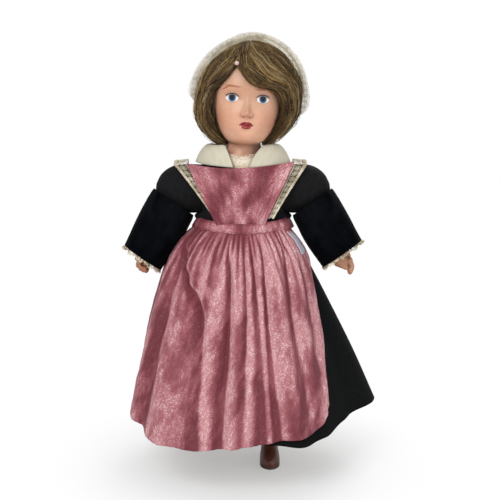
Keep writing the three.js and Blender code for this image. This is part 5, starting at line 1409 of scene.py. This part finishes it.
for side, word in SIDES:
    form = grid_form(96, 60, lambda u, v: hood_place(side, u, v), size=(0.12, 0.05), wrap=True)
    bmesh.ops.delete(form, context="FACES",
                     geom=[face for face in form.faces if below_seam(side, face.calc_center_median())])
    for vert in form.verts:
        vert.co = arm_spot(side, *vert.co)
    bmesh.ops.recalc_face_normals(form, faces=form.faces)
    settle("sleeve_hood_" + word, form, word + "_arm", sleeve_cloth, ["sleeve_upper_" + word],
           thickness=0.7)
    # The pile value drops where the folds sink in: painted shade in the bell's folds.
    form = grid_form(120, 60, lambda u, v: bell_place(side, u, v, inset=bell_detail(u, v) + 0.4),
                     size=(0.13, 0.05), wrap=True, shade=lambda u, v: clamp(1.2 - 0.8 * bell_detail(u, v)))
    bell = settle("sleeve_bell_" + word, form, word + "_arm", black_pile,
                  ["sleeve_lower_" + word], thickness=1.1)
    length = math.hypot(CUFF_OUT - SEAM_OUT, CUFF_DOWN - SEAM_DOWN)

    def cuff_place(u, v):
        wave = 1.1 * v * math.cos(38 * math.pi * u) + 0.5 * v * math.sin(50 * math.pi * u)
        down = CUFF_LACE * v * (1 + 0.25 * math.sin(22 * math.pi * u) + 0.15 * math.sin(58 * math.pi * u)) - 0.8
        return bell_place(side, u, 1 + down / length, CUFF_WIDE - 0.6 + wave, CUFF_DEEP - VELVET + wave)

    cuff_threads = lace_threads(cuff_place, 116, CUFF_LACE, cell=0.9, motif=3.2, scallop=2.4, closed=True)
    cuff_threads += [[(cuff_place((k % 220) / 220, v), share) for k in range(221)]
                     for v, share in ((0.15, 2.2), (1.0, 2.4))]
    strands_piece("cuff_threads_" + word, cuff_threads, 0.17, word + "_arm", lace_thread,
                  ["cuff_lace_" + word])
print("sleeves ready")

# %% [markdown]
# ## Arms, legs and shoes
# An arm is a row of ovals that leans outward, with small pressed fingers. Remeshing melts the palm,
# fingers and thumb into one skin, as the mould did. The legs end in brown shoes on leather soles.

# %% Arms
ARM_LONG, SHOULDER_BALL, PALM, FINGER, HAND_IN = 78.0, 12.5, 6.4, 1.85, 0.03
# Rows of an arm: out and down as shares of its length, then half width and half depth.
arm_rows = [(0, -0.1, -0.1, 5.0, 5.0), (1, 0.03, 0.03, 7.65, 7.65), (2, 0.12, 0.15, 8.5, 8.5),
            (3, 0.2, 0.28, 8.25, 8.25), (4, 0.295, 0.4, 7.5, 7.5), (5, 0.37, 0.5, 6.45, 6.45),
            (6, 0.435, 0.583, 5, 5), (7, 0.474, 0.647, 5.6, 4.4), (8, 0.513, 0.724, 6.2, 4.0),
            (9, 0.532, 0.763, 5.6, 3.0)]
finger_shares = (0.86, 1, 0.95, 0.8)


def add_ball(form, place, radius):
    bmesh.ops.create_uvsphere(form, u_segments=14, v_segments=10, radius=radius * MM, matrix=Matrix.Translation(place))


def hand_spot(side, out, down, across, ahead):
    """A place in the hand: shares of the arm's length, then millimetres across the palm and ahead of it."""
    return arm_spot(side, side * ARM_LONG * out + across * math.cos(ARM_SPLAY), ahead,
                    -ARM_LONG * down + side * across * math.sin(ARM_SPLAY))


def add_fist(form, side):
    """Four curled fingers in a row, with the thumb laid along the first."""
    for k, reach in enumerate(finger_shares):
        across = PALM * (k * 0.42 - 0.63) + 0.6
        for share in (j / 10 for j in range(11)):
            down = mix(0.74, 0.82, math.sin(2.4 * share) * reach)
            place = hand_spot(side, mix(0.478, 0.492, share), down, across * mix(1, 0.86, share), -1.0 - 3.6 * share)
            add_ball(form, place, FINGER * (1.12 - 0.15 * share))
    for share in (j / 8 for j in range(9)):
        across = -0.6 * PALM * mix(1, 0.9, share)
        place = hand_spot(side, mix(0.44, 0.475, share), mix(0.66, 0.79, share), across, -2.6 - 1.6 * share)
        add_ball(form, place, FINGER * (1.35 - 0.2 * share))


def add_open_hand(form, side):
    """A palm held edge on, its fingers one behind another and bent down, the thumb below."""
    for share in (j / 6 for j in range(7)):
        for ahead in (-3.4, 0.4):
            place = hand_spot(side, mix(0.375, 0.525, share), mix(0.695, 0.735, share), 0, ahead)
            add_ball(form, place, mix(4.7, 3.9, share))
    for k, reach in enumerate(finger_shares):
        for share in (j / 10 for j in range(11)):
            out, down = 0.53 + 0.03 * math.sin(2.6 * share), mix(0.73, 0.85, share * reach)
            add_ball(form, hand_spot(side, out, down, 0, -5.6 + 2.9 * k), FINGER * (1.2 - 0.15 * share))
    for share in (j / 8 for j in range(9)):
        place = hand_spot(side, mix(0.41, 0.5, share), mix(0.76, 0.8, share), 0, -4.6)
        add_ball(form, place, FINGER * (1.3 - 0.2 * share))


def arm_form(side):
    def place(u, v):
        row, angle = v * (len(arm_rows) - 1), 2 * math.pi * u
        out, down, wide, deep = (follow(arm_rows, row, k) for k in range(1, 5))
        out -= HAND_IN * ease((row - 6) / 3)
        x = side * ARM_LONG * out + wide * math.cos(angle) * math.cos(ARM_SPLAY)
        z = -ARM_LONG * down + side * wide * math.cos(angle) * math.sin(ARM_SPLAY)
        return arm_spot(side, x, deep * math.sin(angle), z)

    form = grid_form(48, 100, place, wrap=True)
    bmesh.ops.holes_fill(form, edges=[edge for edge in form.edges if edge.is_boundary])
    add_ball(form, arm_spot(side, 0, 0, 0), SHOULDER_BALL)
    if side < 0:
        add_fist(form, side)
    else:
        add_open_hand(form, side)
    return form


def melt(piece, size, rounds):
    """Melts overlapping lumps into one skin and smooths it."""
    skin = piece.modifiers.new("one skin", "REMESH")
    skin.mode = "VOXEL"
    skin.voxel_size = size * MM
    skin.use_smooth_shade = True
    soft = piece.modifiers.new("soften", "SMOOTH")
    soft.factor = 0.5
    soft.iterations = rounds


for side, word in SIDES:
    arm = settle("arm_painted_" + word, arm_form(side), word + "_arm", limb_paint, ["arm_" + word])
    melt(arm, 0.42, 3)
print("arms ready")

# %% Legs, shoes and soles
SOLE_HIGH, FOOT_LONG, FOOT_WIDE, FOOT_HIGH, HIP_BALL = 2.6, 46.0, 8.0, 17.0, 14.0
sole_top = SOLE_HIGH - HIP_HIGH
leg_rows = [(0, -2.0, 11.0, 11.0), (1, -HIP_BALL * 0.9, 11.5, 11.5), (2, -25.5, 12.2, 12.2), (3, -48, 11, 11),
            (4, -64.5, 9.4, 9.4), (5, -87, 10, 10.4), (6, -108, 8.4, 8.4), (7, -123.6, 6.6, 6.6),
            (8, -134, 6.3, 6.3), (9, -140, 6.0, 6.6)]
foot_shares = [(0, 0.55, 0.72), (0.08, 0.8, 0.95), (0.45, 0.9, 1), (0.72, 1, 0.74), (0.9, 0.82, 0.5), (1, 0.3, 0.24)]
sole_shares = [(0, 0.06), (0.02, 0.5), (0.1, 0.8), (0.3, 0.84), (0.45, 0.8), (0.72, 1), (0.88, 0.84),
               (0.97, 0.45), (1, 0.06)]
ARCH_SHARE = 0.78


def foot_place(side, u, v, inset=0.0, lift=0.3):
    """The shoe's outer skin: over the arch of the foot and back under it."""
    y = mix(FOOT_LONG - TOE_REACH - inset, -TOE_REACH + inset, v)
    half = max(FOOT_WIDE * follow(foot_shares, v, 1) - inset, 0.4)
    top = FOOT_HIGH * follow(foot_shares, v, 2) - inset
    if u < ARCH_SHARE:
        angle = math.pi * u / ARCH_SHARE
        return leg_spot(side, half * math.cos(angle), y, sole_top + lift + (top - lift) * math.sin(angle) ** 0.8)
    return leg_spot(side, mix(-half, half, (u - ARCH_SHARE) / (1 - ARCH_SHARE)), y, sole_top + lift)


for side, word in SIDES:
    def leg_place(u, v):
        row, angle = v * (len(leg_rows) - 1), 2 * math.pi * u
        z, wide, deep = (follow(leg_rows, row, k) for k in (1, 2, 3))
        calf = 1.2 * bump(z, -84, 14) * max(math.sin(angle), 0)
        return leg_spot(side, wide * math.cos(angle), deep * math.sin(angle) + calf, z)

    form = grid_form(48, 76, leg_place, wrap=True)
    bmesh.ops.holes_fill(form, edges=[edge for edge in form.edges if edge.is_boundary])
    add_ball(form, leg_spot(side, 0, 0, 0), HIP_BALL)
    leg = settle("leg_painted_" + word, form, word + "_leg", leg_paint, ["leg_" + word])
    melt(leg, 0.98, 2)

    form = grid_form(64, 64, lambda u, v: foot_place(side, u, v), wrap=True)
    bmesh.ops.holes_fill(form, edges=[edge for edge in form.edges if edge.is_boundary])
    settle("shoe_upper_" + word, form, word + "_leg", shoe_paint, ["shoe_" + word])
    rim = [(leg_spot(side, 7.1 * math.cos(a), 7.3 * math.sin(a) + 0.6, sole_top + FOOT_HIGH * 0.98), 1)
           for a in (2 * math.pi * k / 36 for k in range(37))]
    strands_piece("shoe_rim_" + word, [rim], 0.55, word + "_leg", shoe_paint, sides=3)

    form = bmesh.new()
    edge = [(FOOT_WIDE * follow(sole_shares, t), mix(FOOT_LONG - TOE_REACH, -TOE_REACH, t))
            for t in (k / 40 for k in range(41))]
    outline = edge + [(-x, y) for x, y in reversed(edge)]
    face = form.faces.new([form.verts.new(leg_spot(side, x, y, -HIP_HIGH)) for x, y in outline])
    grown = bmesh.ops.extrude_face_region(form, geom=[face])["geom"]
    rise = leg_spot(side, 0, 0, SOLE_HIGH) - leg_spot(side, 0, 0, 0)
    bmesh.ops.translate(form, verts=[item for item in grown if isinstance(item, bmesh.types.BMVert)], vec=rise)
    bmesh.ops.recalc_face_normals(form, faces=form.faces)
    settle("sole_" + word, form, word + "_leg", sole_leather, ["shoe_sole_" + word])
print("legs ready")

# %% [markdown]
# ## Ribbons
# A pale ribbon ties the apron behind: round the waist, a bow and two tails. One end shows on the
# doll's left, where it was pulled through.

# %% Tie, bow and ribbon end
TIE_WIDE, TIE_THICK, BOW, TAIL, KNOT = 7.0, 0.9, 21.0, 46.0, 4.6
tie_from = 98 * DEGREE + SEAT * 2 / WAIST_WIDE
tie_stand = CLOTH + SEAT + TIE_THICK / 2


def tie_cloth(u, v):
    ripple = 0.25 * math.sin(u * 60) * math.sin(math.pi * v)
    x, y, z = skirt_place(mix(tie_from, 2 * math.pi - tie_from, u), 0, tie_stand + ripple, 0)
    return spot(x, y, z + BAND_LIFT + TIE_WIDE * v)


form = grid_form(120, 12, tie_cloth, size=(0.09, 0.007))
settle("tie_ribbon", form, "doll_body", pale_ribbon, ["apron_tie"], thickness=0.6)
bow_high = WAIST_HIGH + BAND_LIFT + TIE_WIDE / 2
bow_back = WAIST_DEEP + CLOTH + TIE_THICK + KNOT / 2 + SEAT * 3


def bow_loop(side, u, v):
    """A loop that leaves the knot, opens and comes back: u runs round it and v across the ribbon."""
    angle = 2 * math.pi * u
    share = 0.08 + 0.92 * (0.5 - 0.5 * math.cos(angle))
    open_by = 2.0 * math.sin(angle) * (0.4 + 0.6 * share)
    across = (v - 0.5) * TIE_WIDE * (0.4 + 0.75 * math.sin(math.pi * min(share, 0.9) * 0.6))
    return spot(side * BOW * share, bow_back + 0.3 + open_by * 0.6 + KNOT * 0.15 * share,
                bow_high + across + open_by * 0.4 - TIE_WIDE * 0.4 * share)


def bow_tail(side, u, v):
    drop = TAIL * v
    share = drop / (WAIST_HIGH - HEM_REAR)
    angle = math.pi - side * (0.06 + 0.1 * v)
    _, skirt_y, _ = skirt_place(angle, share, CLOTH + SEAT + FOLD_DEPTH * 0.5 + 0.4, HEM_REAR)
    y = max(skirt_y, bow_back - KNOT * 0.2 + 0.4) + 0.35 * math.sin(v * 14 + u * 2)
    return spot(side * (TIE_WIDE * (u + 0.1) + BOW * 0.35 * v), y, bow_high - drop - 2.0 * v * (u - 0.5))


for side, word in SIDES:
    form = grid_form(48, 12, lambda u, v: bow_loop(side, u, v), size=(0.05, 0.007), wrap=True)
    settle("bow_loop_" + word, form, "doll_body", pale_ribbon, thickness=0.5)
    form = grid_form(12, 50, lambda u, v: bow_tail(side, u, v), size=(0.007, 0.046))
    settle("bow_tail_" + word, form, "doll_body", pale_ribbon, thickness=0.5)
form = bmesh.new()
bmesh.ops.create_uvsphere(form, u_segments=24, v_segments=16, radius=1.0)
for vert in form.verts:
    x, y, z = vert.co
    pinch = 0.3 * math.sin(9 * math.atan2(x, z)) * (1 - y * y)
    vert.co = spot(x * (KNOT - 0.6 + pinch), bow_back + y * KNOT * 0.45, bow_high + z * (TIE_WIDE / 2 + 0.1 + pinch))
settle("bow_knot", form, "doll_body", pale_ribbon, ["apron_bow"])


def ribbon_place(u, v):
    down = 0.01 + 20.0 * (1 - v) / (WAIST_HIGH - HEM_FRONT)
    angle = 66 * DEGREE + 5.0 * (u - 0.5) / WAIST_WIDE + 0.05 * (1 - v)
    wave = 0.3 * math.sin(v * 9) * (1 - v)
    over_apron = 4.4 * ease(down * 14)
    return spot(*skirt_place(angle, down, CLOTH + SEAT + TIE_THICK / 2 + wave + over_apron, skirt_hem_at(angle)))


settle("ribbon_end_satin", grid_form(10, 40, ribbon_place, size=(0.005, 0.02)), "doll_body", pale_ribbon,
       ["ribbon_end"], thickness=0.5)
print("bow, back and height:", round(bow_back, 1), round(bow_high, 1))

# %% [markdown]
# ## Parts that stay as the frame made them
# The torso halves, the elastics, the hook, the hip pins and washers, the neck plug and the pate are
# simple turned or pressed parts, and they hardly show. They keep their shape and only get their
# finish.

# %% Finishes for the kept parts
kept = {"torso_front": bare_paste, "torso_back": bare_paste, "arm_elastic": elastic_cover,
        "body_elastic": elastic_cover, "neck_hook": steel_wire, "neck_plug": turned_wood,
        "crown_pate": bare_paste, "hip_pin_left": steel_wire, "hip_pin_right": steel_wire,
        "shoulder_washer_left": steel_wire, "shoulder_washer_right": steel_wire}
for name, finish in kept.items():
    part = frame["nodes"][name]
    if not part.material_slots:
        part.data.materials.append(None)
    for place in part.material_slots:
        place.link = "OBJECT"
        place.material = finish
print("kept parts:", len(kept))

# %% [markdown]
# ## The studio
# A pale floor that runs to white, a large soft lamp above the camera and weaker ones at the sides.

# %% Floor, lamps and world
SHADOW_NEAR, SHADOW_FAR, SHADOW_LEAST, ROOM_LIGHT = 0.05, 0.17, 0.35, 0.38


def seen_directly(tree):
    """1 for what the camera, a mirror or glass shows, 0 for light that falls on the doll."""
    rays = node(tree, "ShaderNodeLightPath").outputs
    mirrored = math_node(tree, "MAXIMUM", rays["Is Camera Ray"], rays["Is Glossy Ray"])
    return math_node(tree, "MAXIMUM", mirrored, rays["Is Transmission Ray"])


form = bmesh.new()
bmesh.ops.create_grid(form, x_segments=1, y_segments=1, size=4.0)
mesh = bpy.data.meshes.new("floor")
form.to_mesh(mesh)
form.free()
floor = bpy.data.objects.new("floor", mesh)
bpy.context.collection.objects.link(floor)
floor_finish, tree, shader, places = new_finish("floor_white")
shader.inputs["Base Color"].default_value = (0.92, 0.92, 0.92, 1.0)
shader.inputs["Roughness"].default_value = 0.7
away = node(tree, "ShaderNodeVectorMath", {0: places, 1: (AXIS.x, AXIS.y, 0.0)}, operation="DISTANCE").outputs["Value"]
plain_white = node(tree, "ShaderNodeEmission", {"Color": (1, 1, 1, 1), "Strength": 1.0}).outputs[0]
fading = spread(tree, away, SHADOW_NEAR, SHADOW_FAR, SHADOW_LEAST, 1.0)
beyond = math_node(tree, "MULTIPLY", fading, seen_directly(tree))
both = node(tree, "ShaderNodeMixShader", {0: beyond, 1: shader.outputs[0], 2: plain_white}).outputs[0]
tree.links.new(both, tree.nodes["Material Output"].inputs["Surface"])
mesh.materials.append(floor_finish)


def soft_lamp(name, place, size, power, target):
    data = bpy.data.lights.new(name, "AREA")
    data.size = size
    data.energy = power
    lamp = bpy.data.objects.new(name, data)
    bpy.context.collection.objects.link(lamp)
    lamp.location = place
    lamp.rotation_euler = (target - place).to_track_quat("-Z", "Y").to_euler()
    return lamp


middle = spot(0, 0, 170)
lamps = [soft_lamp("key", spot(-450, -900, 800), 0.6, 8.6, middle),
         soft_lamp("fill", spot(800, -700, 400), 0.9, 3.6, middle),
         soft_lamp("rim", spot(300, 700, 700), 0.6, 4.0, middle)]
world = bpy.data.worlds.new("white room")
bpy.context.scene.world = world
world.use_nodes = True
tree = world.node_tree
tree.nodes.clear()
plain = node(tree, "ShaderNodeBackground", {"Color": (1, 1, 1, 1), "Strength": ROOM_LIGHT}).outputs[0]
white = node(tree, "ShaderNodeBackground", {"Color": (1, 1, 1, 1), "Strength": 1.0}).outputs[0]
both = node(tree, "ShaderNodeMixShader", {0: seen_directly(tree), 1: plain, 2: white}).outputs[0]
node(tree, "ShaderNodeOutputWorld", {"Surface": both})
bpy.context.scene.view_settings.view_transform = "Standard"
print("lamps:", len(lamps))
